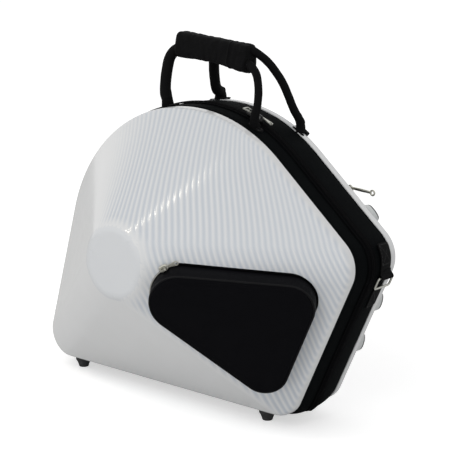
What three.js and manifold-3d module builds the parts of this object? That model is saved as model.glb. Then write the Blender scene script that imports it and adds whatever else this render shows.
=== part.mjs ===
// A fixed-bell french horn case, standing on its feet: two moulded shells, a fabric band with a zip
// round them, a front pocket, a rear pocket, two joined carrying handles and a padded inside.
// Millimetres. X is to the right, -Y is the front, +Z is up. The case is drawn with the middle of its
// fabric band at y = 0, the centre of its round top at x = 0 and its flat bottom at z = 0, and the
// finished group is then moved so that its lowest face lies on z = 0 under the middle of its box.
import * as THREE from 'three';
import Module from 'manifold-3d';
import { mergeVertices } from 'three/addons/utils/BufferGeometryUtils.js';

const wasm = await Module();
wasm.setup();

// Driving dimensions
const clearance = 0.3;
const overrun = 60;
const blockSize = 720;
const weld = 1e-3;
const tiny = 1e-6;

const outline = {
  arcRadius: 237, arcCentreZ: 183,
  noseX: 296, noseZ: 242, noseRadius: 46,
  toeX: 189, toeRadius: 38,
  heelX: -295, heelRadius: 38,
  leastRadius: 1, noseSteps: 5, arcSteps: 18, cornerSteps: 4,
};
const band = { width: 85, crown: 8, crownSteps: 3, thickness: 3, partingY: -8, partingGap: 0.3 };
const front = {
  wall: 13, rimFillet: 12, depth: 170, peakX: 0, peakZ: 225, peakRadius: 48, peakFillet: 16, thickness: 3,
};
const back = {
  wall: 12, rimFillet: 12, depth: 57.5, plateInset: 46, plateRadius: 24, peakFillet: 22, thickness: 3,
};
const liner = { thickness: 9, rimSetback: 4, gap: 0.7 };
const zip = { tapeWidth: 9, tapeThickness: 1, coilWidth: 2.6, coilHeight: 2.2, endAngle: 35 };
const slider = {
  length: 13, width: 9.6, height: 4.2, corner: 3.2, edge: 1, leftX: 74, rightX: 88,
  bridgeWidth: 3, bridgeRun: 3.9, bridgeTopRun: 2.6, bridgeRise: 4.2, bridgeShoulder: 2.6,
  bridgeWall: 1.1, bridgeLeg: 1.65,
};
const barPull = { length: 24, width: 7, thickness: 1.6, pin: 1.6, slot: 4.8, taper: 0.8, eyeRadius: 2 };
const rearPull = { length: 44, width: 8, eyeRadius: 2.8, lift: 0.63 };
const wirePull = { length: 13, width: 11, narrow: 6.4, wire: 1.8 };
const handle = {
  strapRadius: 7, sides: 8, steps: 36, bow: 10, frontEntryInset: 10,
  frontLeftX: -65, frontRightX: 97, frontY: -28,
  backLeftX: -29, backRightX: 120, backY: 50,
  gripZ: 498.5, gripShift: 14, gripHalfLength: 66, gripDepth: 27, gripHeight: 36,
  gripCorner: 11, gripEdge: 3,
  strandY: 4, strandZ: 8, partingLean: 0.5236, tilt: 0.065, gripGap: 0.6,
  backEntryX: 12, notchX: -6, notchWidth: 40, notchFront: 4.5, strapGap: 0.8,
  tabWidth: 21, tabThickness: 4.4, tabCorner: 5,
};
const foot = {
  leftX: -240, rightX: 130, y: 29, height: 21, topRadius: 12.5, bottomRadius: 8, edge: 2.5, edgeShare: 0.3,
  screwRadius: 3.4, screwStem: 1.8, screwHead: 2.2, recess: 8, kneeShare: 0.55, sides: 16,
};
const pocket = {
  topCorner: -33, bottomCorner: -234, hingeSetback: 28, pointAlong: -127, pointAcross: 343,
  topRadius: 37, bottomRadius: 33, pointRadius: 43,
  depth: 28, wall: 3, edge: 5, tapeWidth: 3, tapeThickness: 1.2, tapeInset: 4.5, sliderGap: 0.6,
  sliderAngle: 0.87, sliderLift: 2.4,
};
const rear = {
  inset: 49, leastRadius: 20, bottomZ: 116, depth: 28, wall: 2.5, edge: 5,
  sliderAlong: 45, sliderRise: 19,
};
const boss = {
  radius: 17, height: 6, draft: 4, padThickness: 1.6, inset: 14,
  rightLow: 4, rightMid: 76, rightHigh: -112, leftLow: 110,
};
const ring = {
  y: 25, width: 35, height: 17, wire: 3.4, wireSides: 8, rightAlong: 141, leftAlong: -33,
  tabWidth: 28, tabThickness: 1.6, tabUp: 44, patchDown: 36, patchGap: 4,
  tunnel: 4.4, tunnelSides: 12, bore: 2.2,
};
const hingeTape = { frontWidth: 7.4, backWidth: 20, thickness: 1.2, endSetback: 8 };
const bed = {
  gap: 0.7, faceY: 14, floorY: 76, throatY: 68, coilX: 104, coilZ: 222, coilRadius: 102,
  coreRadius: 46, sides: 40,
};
const bell = {
  x: -2, z: 225, radius: 156, openRadius: 148, frontY: -82, backY: -54, rimY: -67,
  groove: 12, grooveDepth: 4,
  mouthRadius: 84, throatRadius: 120,
};
const box = {
  rightX: -66, leftX: -206, bottomZ: 40, topZ: 96, wall: 4, faceY: 14, depth: 54, lidThickness: 4,
  tabInset: 6, tabLength: 16, tabWidth: 22, tabThickness: 1.6,
};
const strap = { z: 226, width: 38, thickness: 3, fixedX: 88, endX: 230, startX: -30, hingeX: 98 };

const half = band.width / 2;
const frontY = -half;
const backY = half;
const peakY = frontY - front.depth;
const plateY = backY + back.depth;
const turn = Math.PI * 2;

// Materials
function finish(color, roughness, metalness = 0) {
  return new THREE.MeshStandardMaterial({ color, roughness, metalness });
}
const whiteShell = finish(0xd9dcde, 0.28);
const blackFabric = finish(0x101113, 0.85);
const blackWebbing = finish(0x17181a, 0.8);
const rubber = finish(0x161616, 0.7);
const steel = finish(0xb9bab4, 0.3, 1);
const blackSteel = finish(0x1b1b1c, 0.4, 1);
const plush = finish(0x34363a, 0.95);
const zipTape = finish(0x0c0c0d, 0.8);

// Solids
function solidOf(positions, indices) {
  const raw = new THREE.BufferGeometry();
  raw.setAttribute('position', new THREE.Float32BufferAttribute(positions, 3));
  raw.setIndex(indices);
  return cleaned(raw);
}

function cleaned(source) {
  const stripped = source.clone();
  for (const name of Object.keys(stripped.attributes)) {
    if (name !== 'position') stripped.deleteAttribute(name);
  }
  const merged = mergeVertices(stripped, weld);
  const index = merged.index.array;
  const kept = [];
  for (let i = 0; i < index.length; i += 3) {
    const [a, b, c] = [index[i], index[i + 1], index[i + 2]];
    if (a !== b && b !== c && c !== a) kept.push(a, b, c);
  }
  merged.setIndex(kept);
  if (signedVolume(merged) < 0) {
    for (let i = 0; i < kept.length; i += 3) [kept[i + 1], kept[i + 2]] = [kept[i + 2], kept[i + 1]];
    merged.setIndex(kept);
  }
  merged.computeVertexNormals();
  return merged;
}

function signedVolume(geometry) {
  const place = geometry.attributes.position;
  const index = geometry.index.array;
  const [a, b, c] = [new THREE.Vector3(), new THREE.Vector3(), new THREE.Vector3()];
  let total = 0;
  for (let i = 0; i < index.length; i += 3) {
    a.fromBufferAttribute(place, index[i]);
    b.fromBufferAttribute(place, index[i + 1]);
    c.fromBufferAttribute(place, index[i + 2]);
    total += a.dot(b.cross(c));
  }
  return total;
}

function manifoldOf(geometry) {
  const ready = cleaned(geometry);
  const vertProperties = new Float32Array(ready.attributes.position.array);
  const triVerts = new Uint32Array(ready.index.array);
  return new wasm.Manifold(new wasm.Mesh({ numProp: 3, vertProperties, triVerts }));
}

function geometryOf(manifold) {
  const result = manifold.getMesh();
  return solidOf(Array.from(result.vertProperties), Array.from(result.triVerts));
}

function cut(body, ...tools) {
  return geometryOf(tools.reduce((rest, tool) => rest.subtract(manifoldOf(tool)), manifoldOf(body)));
}

function common(one, other) {
  return geometryOf(manifoldOf(one).intersect(manifoldOf(other)));
}

function joined(...parts) {
  const [first, ...others] = parts.map(manifoldOf);
  return geometryOf(others.reduce((sum, part) => sum.add(part), first));
}

// A grid of points, closed round each row, skinned into one solid. Rows run along the piece and may
// close on themselves; open ends are capped with the triangles of the flat section.
function skin(rows, closedAlong, section = null) {
  const width = rows[0].length;
  const positions = rows.flat().flatMap((p) => [p.x, p.y, p.z]);
  const indices = [];
  const rowCount = closedAlong ? rows.length : rows.length - 1;
  for (let i = 0; i < rowCount; i += 1) {
    const next = (i + 1) % rows.length;
    for (let j = 0; j < width; j += 1) {
      const beside = (j + 1) % width;
      const [a, b, c, d] = [i * width + j, next * width + j, next * width + beside, i * width + beside];
      indices.push(a, b, c, a, c, d);
    }
  }
  if (!closedAlong) {
    const faces = THREE.ShapeUtils.triangulateShape(section, []);
    const last = (rows.length - 1) * width;
    const clockwise = THREE.ShapeUtils.isClockWise(section);
    for (const [a, b, c] of faces) {
      const [p, q] = clockwise ? [b, c] : [c, b];
      indices.push(a, q, p, last + a, last + p, last + q);
    }
  }
  return solidOf(positions, indices);
}

function extruded(shape, depth, edge = 0, edgeSteps = 2) {
  return cleaned(new THREE.ExtrudeGeometry(shape, {
    depth: depth - 2 * edge,
    bevelEnabled: edge > 0,
    bevelThickness: edge,
    bevelSize: edge,
    bevelOffset: -edge,
    bevelSegments: edgeSteps,
    curveSegments: outline.cornerSteps,
  }).translate(0, 0, edge));
}

function roundedBox(width, height, radius) {
  const shape = new THREE.Shape();
  const [x, y] = [width / 2, height / 2];
  shape.moveTo(x - radius, -y);
  shape.absarc(x - radius, -y + radius, radius, -Math.PI / 2, 0, false);
  shape.absarc(x - radius, y - radius, radius, 0, Math.PI / 2, false);
  shape.absarc(-x + radius, y - radius, radius, Math.PI / 2, Math.PI, false);
  shape.absarc(-x + radius, -y + radius, radius, Math.PI, Math.PI * 1.5, false);
  return shape;
}

function disc(lowRadius, topRadius, from, to, sides = foot.sides) {
  return new THREE.CylinderGeometry(topRadius, lowRadius, to - from, sides)
    .rotateX(Math.PI / 2).translate(0, 0, (from + to) / 2);
}

function tube(points, radius, sides, steps) {
  const shape = new THREE.Shape();
  for (let i = 0; i < sides; i += 1) {
    const angle = i / sides * turn;
    const [x, y] = [radius * Math.cos(angle), radius * Math.sin(angle)];
    if (i === 0) shape.moveTo(x, y);
    else shape.lineTo(x, y);
  }
  const extrudePath = new THREE.CatmullRomCurve3(points, false, 'centripetal');
  return cleaned(new THREE.ExtrudeGeometry(shape, { steps, extrudePath, bevelEnabled: false }));
}

const vector = (x, y, z) => new THREE.Vector3(x, y, z);
const polygon = (points) => new THREE.Shape(points.map(([x, y]) => new THREE.Vector2(x, y)));

// The outline is four rounded corners, joined by straight edges. Each corner is a round: its centre,
// its radius and the angles of its outward normal, which stay the same however far it is inset.
const normalAt = (angle) => new THREE.Vector2(Math.cos(angle), Math.sin(angle));
const fromArcCentre = (x, z) => new THREE.Vector2(x, z - outline.arcCentreZ);
const nose = fromArcCentre(outline.noseX, outline.noseZ);
const toe = fromArcCentre(outline.toeX, 0);
const heel = fromArcCentre(outline.heelX, 0);
const lowerAngle = Math.atan2(-(nose.x - toe.x), nose.y - toe.y);
const upperAngle = nose.angle() + Math.acos(outline.arcRadius / nose.length());
const leftAngle = heel.angle() - Math.acos(outline.arcRadius / heel.length());
const edges = {
  bottom: { angle: -Math.PI / 2, distance: outline.arcCentreZ },
  lower: { angle: lowerAngle, distance: nose.dot(normalAt(lowerAngle)) },
  upper: { angle: upperAngle, distance: outline.arcRadius },
  left: { angle: leftAngle, distance: outline.arcRadius },
};

function corner(one, other, inset, radius) {
  const [a, b] = [normalAt(one.angle), normalAt(other.angle)];
  const [p, q] = [one.distance - inset - radius, other.distance - inset - radius];
  const det = a.cross(b);
  return { x: (p * b.y - q * a.y) / det, z: outline.arcCentreZ + (q * a.x - p * b.x) / det, radius };
}

function caseRounds(inset, leastRadius = outline.leastRadius) {
  const radiusOf = (size) => Math.max(size - inset, leastRadius);
  return [
    corner(edges.bottom, edges.lower, inset, radiusOf(outline.toeRadius)),
    corner(edges.lower, edges.upper, inset, radiusOf(outline.noseRadius)),
    { x: 0, z: outline.arcCentreZ, radius: outline.arcRadius - inset },
    corner(edges.left, edges.bottom, inset, radiusOf(outline.heelRadius)),
  ];
}

const roundSpans = [
  [-Math.PI / 2, lowerAngle, outline.cornerSteps],
  [lowerAngle, upperAngle, outline.noseSteps],
  [upperAngle, leftAngle, outline.arcSteps],
  [leftAngle, Math.PI * 1.5, outline.cornerSteps],
];

function ringPoints(rounds) {
  return rounds.flatMap((round, k) => {
    const [start, end, steps] = roundSpans[k];
    return Array.from({ length: steps + 1 }, (_, i) => {
      const angle = start + (end - start) * i / steps;
      const [x, z] = [round.x + round.radius * Math.cos(angle), round.z + round.radius * Math.sin(angle)];
      return { x, z, angle };
    });
  });
}

function filletPoints(at, from, to, radius, steps) {
  const [u, v] = [at.clone().sub(from).normalize(), to.clone().sub(at).normalize()];
  const bend = Math.acos(Math.min(1, u.dot(v)));
  const room = Math.min(radius * Math.tan(bend / 2), at.distanceTo(from), at.distanceTo(to));
  const fitted = room / Math.tan(bend / 2);
  const side = v.clone().addScaledVector(u, -Math.cos(bend)).divideScalar(Math.sin(bend));
  const start = at.clone().addScaledVector(u, -room);
  return Array.from({ length: steps + 1 }, (_, i) => {
    const angle = bend * i / steps;
    return start.clone().addScaledVector(u, fitted * Math.sin(angle))
      .addScaledVector(side, fitted * (1 - Math.cos(angle)));
  });
}

// One side of a shell, seen as a profile in (run towards the peak, rise from the seam) on each ruling,
// from the rim to the middle of the peak. depthIn moves the whole surface inwards.
const wallShare = 0.5;
const peakShare = 0.3;
const leastFillet = 1;

function domePlan(side, depthIn) {
  const isFront = side === front;
  const rim = ringPoints(caseRounds(depthIn));
  const peakRadius = (isFront ? front.peakRadius : 0) - depthIn * peakShare;
  const peakRounds = isFront
    ? roundSpans.map(() => ({ x: front.peakX, z: front.peakZ, radius: peakRadius }))
    : caseRounds(back.plateInset + depthIn * peakShare, back.plateRadius - depthIn * peakShare);
  const centre = isFront ? { x: front.peakX, z: front.peakZ } : { x: 0, z: outline.arcCentreZ };
  const [wall, rise] = [side.wall - depthIn * wallShare, side.depth - depthIn];
  return { rim, peak: ringPoints(peakRounds), centre, wall, rise };
}

const filletSteps = 3;

function domeRows(side, depthIn, start = 0) {
  const plan = domePlan(side, depthIn);
  const sign = side === front ? -1 : 1;
  const lift = (x, z, rise) => vector(x, sign * (half + rise), z);
  return plan.rim.map((point, i) => {
    const summit = plan.peak[i];
    const inward = normalAt(summit.angle).multiplyScalar(side.peakFillet);
    const low = lift(point.x, point.z, start);
    const knee = lift(point.x, point.z, plan.wall);
    const top = lift(summit.x, summit.z, plan.rise);
    const within = lift(summit.x - inward.x, summit.z - inward.y, plan.rise);
    return [
      low,
      ...filletPoints(knee, low, top, Math.max(side.rimFillet - depthIn, leastFillet), filletSteps),
      ...filletPoints(top, knee, within, side.peakFillet, filletSteps),
      lift(plan.centre.x, plan.centre.z, plan.rise),
    ];
  });
}

function shellBetween(side, outer, inner, start) {
  const outside = domeRows(side, outer, start);
  const inside = domeRows(side, inner, start);
  return skin(outside.map((row, i) => [...row, ...inside[i].slice().reverse()]), true);
}

// The band bulges outwards between the two shells, most at the bottom and least round the top. The
// shares of the crown are given at the angles between the edges.
const crownShares = [
  [-Math.PI / 2, 1], [lowerAngle, 0.6], [upperAngle, 0.25], [leftAngle, 0.25], [Math.PI * 1.5, 1],
];
const crownAt = (y) => band.crown * (1 - (y / half) ** 2);

function crownShare(angle) {
  const k = crownShares.findIndex(([end], i) => i > 0 && angle <= end + tiny);
  const [[from, low], [to, high]] = [crownShares[k - 1], crownShares[k]];
  return THREE.MathUtils.mapLinear(angle, from, to, low, high);
}

function acrossOutline(section) {
  return ringPoints(caseRounds(0)).map((p) => {
    const [out, share] = [normalAt(p.angle), crownShare(p.angle)];
    return section.map(([y, rise]) => {
      const reach = rise + share * crownAt(y);
      return vector(p.x + out.x * reach, y, p.z + out.y * reach);
    });
  });
}

function steps(from, to, count) {
  return Array.from({ length: count + 1 }, (_, i) => from + (to - from) * i / count);
}

function bandRows(yStart, yEnd, outer, inner) {
  const ys = steps(yStart, yEnd, band.crownSteps);
  return acrossOutline([...ys.map((y) => [y, outer]), ...ys.slice().reverse().map((y) => [y, inner])]);
}

// The whole closed outside of the case, moved outwards by a gap: what is seated on it is cut by it.
function exterior(gap) {
  const ys = steps(-half, half, band.crownSteps * 2);
  const middle = acrossOutline(ys.slice(1, -1).map((y) => [y, gap]));
  const [fronts, backs] = [domeRows(front, -gap), domeRows(back, -gap)];
  const rows = middle.map((row, i) => [...fronts[i].slice().reverse(), ...row, ...backs[i]]);
  return skin(rows, true);
}
const seat = exterior(clearance);

// Frames: a local X, Y, Z at a point, for pieces that sit on a slanted face.
function frameAt(origin, xAxis, zAxis) {
  const z = zAxis.clone().normalize();
  const x = xAxis.clone().addScaledVector(z, -xAxis.dot(z)).normalize();
  const y = z.clone().cross(x);
  return new THREE.Matrix4().makeBasis(x, y, z).setPosition(origin);
}

const carcase = new THREE.Group();

function piece(name, geometry, material, parent = carcase) {
  const mesh = new THREE.Mesh(geometry, material);
  mesh.name = name;
  carcase.add(mesh);
  if (parent !== carcase) parent.attach(mesh);
  return mesh;
}

function pivot(name, place, parent = carcase) {
  const group = new THREE.Group();
  group.name = name;
  group.position.copy(place);
  carcase.add(group);
  carcase.updateMatrixWorld(true);
  if (parent !== carcase) parent.attach(group);
  carcase.updateMatrixWorld(true);
  return group;
}

// Shells, band and hinge
const bandOut = crownAt(band.partingY);
const topShare = crownShare(Math.PI / 2);
const hingeDrop = bandOut + clearance + hingeTape.thickness;
const lid = pivot('lid_hinge', vector(0, band.partingY, -hingeDrop));
const [lidParting, baseParting] = [band.partingY - band.partingGap / 2, band.partingY + band.partingGap / 2];

piece('front_shell', shellBetween(front, 0, front.thickness), whiteShell, lid);
piece('back_shell', shellBetween(back, 0, back.thickness), whiteShell);
const frontBand = bandRows(frontY + clearance, lidParting, 0, -band.thickness);
const backBand = bandRows(baseParting, backY - clearance, 0, -band.thickness);
piece('front_band', skin(frontBand, true), blackFabric, lid);
piece('back_band', skin(backBand, true), blackFabric);

function linerOf(side) {
  const depthIn = side.thickness + liner.gap;
  return shellBetween(side, depthIn, depthIn + liner.thickness, liner.rimSetback);
}
piece('lid_liner', linerOf(front), plush, lid);
piece('base_liner', linerOf(back), plush);

const [toeRound, , , heelRound] = caseRounds(0);
const bottomEdge = { left: heelRound.x + hingeTape.endSetback, right: toeRound.x - hingeTape.endSetback };
const bottomMiddle = (bottomEdge.left + bottomEdge.right) / 2;

function hingeLeaf(yStart, yEnd) {
  const leaf = new THREE.BoxGeometry(bottomEdge.right - bottomEdge.left, yEnd - yStart, hingeDrop);
  leaf.translate(bottomMiddle, (yStart + yEnd) / 2, -hingeDrop / 2);
  return cut(leaf, seat);
}
piece('hinge_tape_front', hingeLeaf(lidParting - hingeTape.frontWidth, lidParting), blackWebbing, lid);
piece('hinge_tape_back', hingeLeaf(baseParting, baseParting + hingeTape.backWidth), blackWebbing);

// Zip round the sides and the top, one tape with its row of teeth on each half
function zipHalf(inner, outer) {
  const side = Math.sign(outer - inner);
  const step = inner + side * zip.coilWidth;
  const [base, top] = [clearance, clearance + zip.tapeThickness];
  const section = [
    [outer, base], [outer, top], [step, top], [step, base + zip.coilHeight], [inner, base + zip.coilHeight],
    [inner, base],
  ];
  const rows = acrossOutline(section);
  const limit = THREE.MathUtils.degToRad(zip.endAngle);
  const angles = ringPoints(caseRounds(0)).map((p) => p.angle);
  const kept = rows.filter((_, i) => angles[i] > -Math.PI / 2 + limit && angles[i] < Math.PI * 1.5 - limit);
  return skin(kept, false, section.map(([y, out]) => new THREE.Vector2(y, out)));
}
piece('zip_front', zipHalf(lidParting, lidParting - zip.tapeWidth), zipTape, lid);
piece('zip_back', zipHalf(baseParting, baseParting + zip.tapeWidth), zipTape);

// Zip sliders and their pullers. A slider is drawn with its travel along X and the zip below it.
const coilTop = clearance + zip.coilHeight + clearance;

function sliderBody() {
  const outlineOfPlate = roundedBox(slider.length, slider.width, slider.corner);
  const plate = extruded(outlineOfPlate, slider.height, slider.edge, 1);
  const [run, topRun] = [slider.bridgeRun, slider.bridgeTopRun];
  const [rise, wall] = [slider.bridgeRise, slider.bridgeWall];
  const bridge = polygon([
    [-run, -slider.edge], [run, -slider.edge], [run, slider.bridgeShoulder], [topRun, rise], [-topRun, rise],
    [-run, slider.bridgeShoulder],
  ]);
  const window = run - slider.bridgeLeg;
  bridge.holes.push(polygon([[-window, 0], [-window, rise - wall], [window, rise - wall], [window, 0]]));
  const solid = extruded(bridge, slider.bridgeWidth).rotateX(Math.PI / 2);
  solid.translate(0, slider.bridgeWidth / 2, slider.height);
  return joined(plate, solid);
}

// A puller hangs on its pin at the origin and reaches along +X.
function barPuller({ length, width, eyeRadius }) {
  const [tip, side, pin] = [length - width / 2, width / 2, barPull.pin / 2];
  const fork = slider.bridgeWidth / 2 + clearance;
  const plan = new THREE.Shape();
  plan.moveTo(-pin, -side + barPull.taper);
  plan.absarc(tip, 0, side, -Math.PI / 2, Math.PI / 2, false);
  plan.lineTo(-pin, side - barPull.taper);
  const slot = new THREE.BoxGeometry(barPull.slot - pin, fork * 2, barPull.thickness * 2);
  slot.translate((barPull.slot + pin) / 2, 0, 0);
  const eye = disc(eyeRadius, eyeRadius, -barPull.thickness, barPull.thickness);
  const bar = extruded(plan, barPull.thickness).translate(0, 0, -barPull.thickness / 2);
  return cut(bar, slot, eye.translate(tip, 0, 0));
}

function wirePuller() {
  const [reach, side, wire] = [wirePull.length, wirePull.width / 2, wirePull.wire];
  const [narrow, pin] = [wirePull.narrow / 2, wirePull.wire / 2];
  const loop = polygon([[-pin, -narrow], [reach, -side], [reach, side], [-pin, narrow]]);
  const open = reach - wire;
  loop.holes.push(polygon([
    [pin, wire / 2 - narrow], [pin, narrow - wire / 2], [open, side - wire], [open, wire - side],
  ]));
  return extruded(loop, wire).translate(0, 0, -pin);
}

const arcCentre = vector(0, band.partingY, outline.arcCentreZ);
const zipRadius = outline.arcRadius + bandOut * topShare + coilTop;

function topSlider(side, x) {
  const angle = Math.acos(x / outline.arcRadius);
  const out = vector(Math.cos(angle), 0, Math.sin(angle));
  const along = vector(side * Math.sin(angle), 0, -side * Math.cos(angle));
  const carriage = pivot(`${side < 0 ? 'left' : 'right'}_slider_run`, arcCentre);
  const placed = frameAt(arcCentre.clone().addScaledVector(out, zipRadius), along, out);
  return { carriage, placed, material: blackSteel };
}

function dressSlider(label, set, puller, lift = 0) {
  piece(`${label}_slider`, sliderBody().applyMatrix4(set.placed), set.material ?? steel, set.carriage);
  const pinRise = (slider.bridgeRise - slider.bridgeWall) / 2;
  const pin = vector(0, 0, slider.height + pinRise).applyMatrix4(set.placed);
  const swing = pivot(`${label}_puller_swing`, pin, set.carriage);
  const turned = set.placed.clone().setPosition(pin).multiply(new THREE.Matrix4().makeRotationY(-lift));
  piece(`${label}_puller`, puller.applyMatrix4(turned), steel, swing);
}
dressSlider('left', topSlider(-1, slider.leftX), wirePuller());
dressSlider('right', topSlider(1, slider.rightX), barPuller(barPull));

// Carrying handles: a strap loop on each half, held together by a grip that parts along a slanted plane
const gripMiddle = vector((handle.frontLeftX + handle.frontRightX) / 2 - handle.gripShift, 0, handle.gripZ);
const gripTilt = new THREE.Matrix4().makeRotationY(handle.tilt);
const upright = vector(0, Math.sin(handle.partingLean), Math.cos(handle.partingLean));
const partingNormal = upright.applyMatrix4(gripTilt);

function outsideAt(x, y) {
  const reach = Math.sqrt(outline.arcRadius ** 2 - x ** 2);
  return outline.arcCentreZ + reach + (Math.abs(y) < half ? crownAt(y) * topShare : 0);
}

// The shares run from under a loop's foot to its strand in the grip: across, back or front, up, and
// bowed out.
const strandShares = [0.14, 0.5, 0.86];
const frontLeftShares = [
  [0, 0.1, 0.3, 0.5], [0, 0.4, 0.62, 0.9], [0.2, 0.72, 0.86, 0.9], [0.5, 0.92, 0.97, 0.3],
  [1, 1, 1, -0.7],
];
const frontRightShares = [
  [0, 0.12, 0.32, 0.2], [0, 0.38, 0.64, 0], [0.3, 0.68, 0.88, 0], [1, 1, 1, 0],
];
const backLeftShares = [
  [0.12, 0.45, 0.45, 0], [0.36, 0.72, 0.76, 0], [0.7, 0.92, 0.95, 0], [1, 1, 1, 0],
];
const backRightShares = [
  [0.1, 0.22, 0.32, 0], [0.34, 0.48, 0.64, 0], [0.66, 0.74, 0.87, 0], [1, 1, 1, 0],
];

function legPoints(start, end, bow, shares) {
  const way = end.clone().sub(start);
  return shares.map(([x, y, z, out]) => {
    const reach = vector(way.x * x + bow * out, way.y * y, way.z * z);
    return reach.add(start);
  });
}

// A strap ends in a ball over its tab, and the loop leans about the line through its two balls.
function ballAt(x, y) {
  const rise = Math.abs(y) < half ? crownAt(y) * topShare : 0;
  const reach = outline.arcRadius + rise + handle.tabThickness + clearance + handle.strapRadius;
  return vector(x, y, outline.arcCentreZ + Math.sqrt(reach ** 2 - x ** 2));
}

function handlePoints(side, y, left, right) {
  const under = (x) => vector(x, y, outsideAt(x, y) - handle.strapRadius);
  const strand = (x) => vector(x - gripMiddle.x, side * handle.strandY, side * handle.strandZ)
    .applyMatrix4(gripTilt).add(gripMiddle);
  const [leftEntry, rightEntry] = [strand(left.entryX), strand(right.entryX)];
  return [
    ballAt(left.x, y),
    ...legPoints(under(left.x), leftEntry, -handle.bow, left.shares),
    ...strandShares.map((share) => leftEntry.clone().lerp(rightEntry, share)),
    ...legPoints(under(right.x), rightEntry, handle.bow, right.shares).reverse(),
    ballAt(right.x, y),
  ];
}

function gripBlock() {
  const section = roundedBox(handle.gripDepth, handle.gripHeight, handle.gripCorner);
  const block = extruded(section, handle.gripHalfLength * 2, handle.gripEdge, 1);
  block.translate(0, 0, -handle.gripHalfLength);
  const across = new THREE.Matrix4().makeBasis(vector(0, 1, 0), vector(0, 0, 1), vector(1, 0, 0));
  block.applyMatrix4(across).applyMatrix4(gripTilt);
  return block.translate(gripMiddle.x, gripMiddle.y, gripMiddle.z);
}

function partingTool(side) {
  const slab = new THREE.BoxGeometry(blockSize, blockSize, blockSize);
  slab.translate(0, 0, side * (blockSize - handle.gripGap) / 2);
  return slab.applyMatrix4(frameAt(gripMiddle, vector(1, 0, 0).applyMatrix4(gripTilt), partingNormal));
}

const gripLeftX = gripMiddle.x - handle.gripHalfLength;
const gripRightX = gripMiddle.x + handle.gripHalfLength;
const frontPoints = handlePoints(
  -1, handle.frontY,
  { x: handle.frontLeftX, entryX: gripLeftX, shares: frontLeftShares },
  { x: handle.frontRightX, entryX: gripRightX - handle.frontEntryInset, shares: frontRightShares },
);
const backPoints = handlePoints(
  1, handle.backY,
  { x: handle.backLeftX, entryX: handle.backEntryX, shares: backLeftShares },
  { x: handle.backRightX, entryX: gripRightX, shares: backRightShares },
);
const strapTube = (points, gap = 0) => tube(points, handle.strapRadius + gap, handle.sides, handle.steps);

function strapLoop(points) {
  const balls = [points[0], points[points.length - 1]].map((end) => new THREE.SphereGeometry(
    handle.strapRadius, handle.sides, handle.sides,
  ).translate(end.x, end.y, end.z));
  return joined(strapTube(points), ...balls);
}

const notch = new THREE.BoxGeometry(handle.notchWidth, handle.gripDepth, handle.gripHeight);
notch.translate(handle.notchX, handle.gripDepth / 2 - handle.notchFront, handle.gripZ);

const frontLean = pivot('front_handle_lean', ballAt(handle.frontRightX, handle.frontY), lid);
const backLean = pivot('back_handle_lean', ballAt(handle.backRightX, handle.backY));
piece('front_handle', strapLoop(frontPoints), blackWebbing, frontLean);
piece('back_handle', strapLoop(backPoints), blackWebbing, backLean);
const frontGrip = cut(gripBlock(), partingTool(1), strapTube(frontPoints, handle.strapGap), notch);
const backGrip = cut(gripBlock(), partingTool(-1), strapTube(backPoints, handle.strapGap));
piece('grip_front', frontGrip, blackFabric, frontLean);
piece('grip_back', backGrip, blackFabric, backLean);

// Webbing tabs that fasten the ends of the handle straps
function strapTab(x, y, before, after) {
  const reach = new THREE.Vector2(x, outsideAt(x, 0) - outline.arcCentreZ);
  const out = vector(reach.x, 0, reach.y).normalize();
  const tab = extruded(roundedBox(before + after, handle.tabWidth, handle.tabCorner), overrun);
  tab.translate((after - before) / 2, 0, handle.tabThickness - overrun);
  return tab.applyMatrix4(frameAt(vector(x, y, outsideAt(x, y)), vector(out.z, 0, -out.x), out));
}
const tabOver = exterior(handle.tabThickness);
const tabs = [
  { name: 'front_handle_tab_left', x: handle.frontLeftX, y: handle.frontY, before: 42, after: 18 },
  { name: 'front_handle_tab_right', x: handle.frontRightX, y: handle.frontY, before: 18, after: 30 },
  { name: 'back_handle_tab_left', x: handle.backLeftX, y: handle.backY, before: 24, after: 16 },
  { name: 'back_handle_tab_right', x: handle.backRightX, y: handle.backY, before: 16, after: 14 },
];
for (const { name, x, y, before, after } of tabs) {
  const tab = cut(common(strapTab(x, y, before, after), tabOver), seat);
  piece(name, tab, blackWebbing, y < 0 ? lid : carcase);
}

// Feet, each a hollow rubber stud with its screw
function footAt(x, y) {
  const [top, low, edge] = [foot.topRadius, foot.bottomRadius, foot.edge];
  const hole = foot.screwRadius + clearance;
  const profile = [
    [hole, 0], [low - edge, 0], [low - edge * foot.edgeShare, edge * foot.edgeShare], [low, edge],
    [top, foot.height * foot.kneeShare], [top, foot.height],
    [foot.screwStem + clearance, foot.height], [foot.screwStem + clearance, foot.recess],
    [hole, foot.recess], [hole, 0],
  ];
  const turned = new THREE.LatheGeometry(profile.map(([r, z]) => new THREE.Vector2(r, z)), foot.sides);
  return cut(cleaned(turned).rotateX(Math.PI / 2).translate(x, y, -foot.height), seat);
}

function screwAt(x, y) {
  const [head, stem] = [foot.screwRadius, foot.screwStem];
  const headLow = foot.recess - foot.screwHead - clearance;
  const profile = [
    [0, headLow], [head, headLow], [head, foot.recess - clearance], [stem, foot.recess - clearance],
    [stem, foot.height], [0, foot.height],
  ];
  const turned = new THREE.LatheGeometry(profile.map(([r, z]) => new THREE.Vector2(r, z)), foot.sides);
  return cut(cleaned(turned).rotateX(Math.PI / 2).translate(x, y, -foot.height), seat);
}
for (const [label, y, parent] of [['front', -foot.y, lid], ['back', foot.y, carcase]]) {
  for (const [side, x] of [['left', foot.leftX], ['right', foot.rightX]]) {
    piece(`${label}_foot_${side}`, footAt(x, y), rubber, parent);
    piece(`${label}_foot_screw_${side}`, screwAt(x, y), steel, parent);
  }
}

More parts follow.
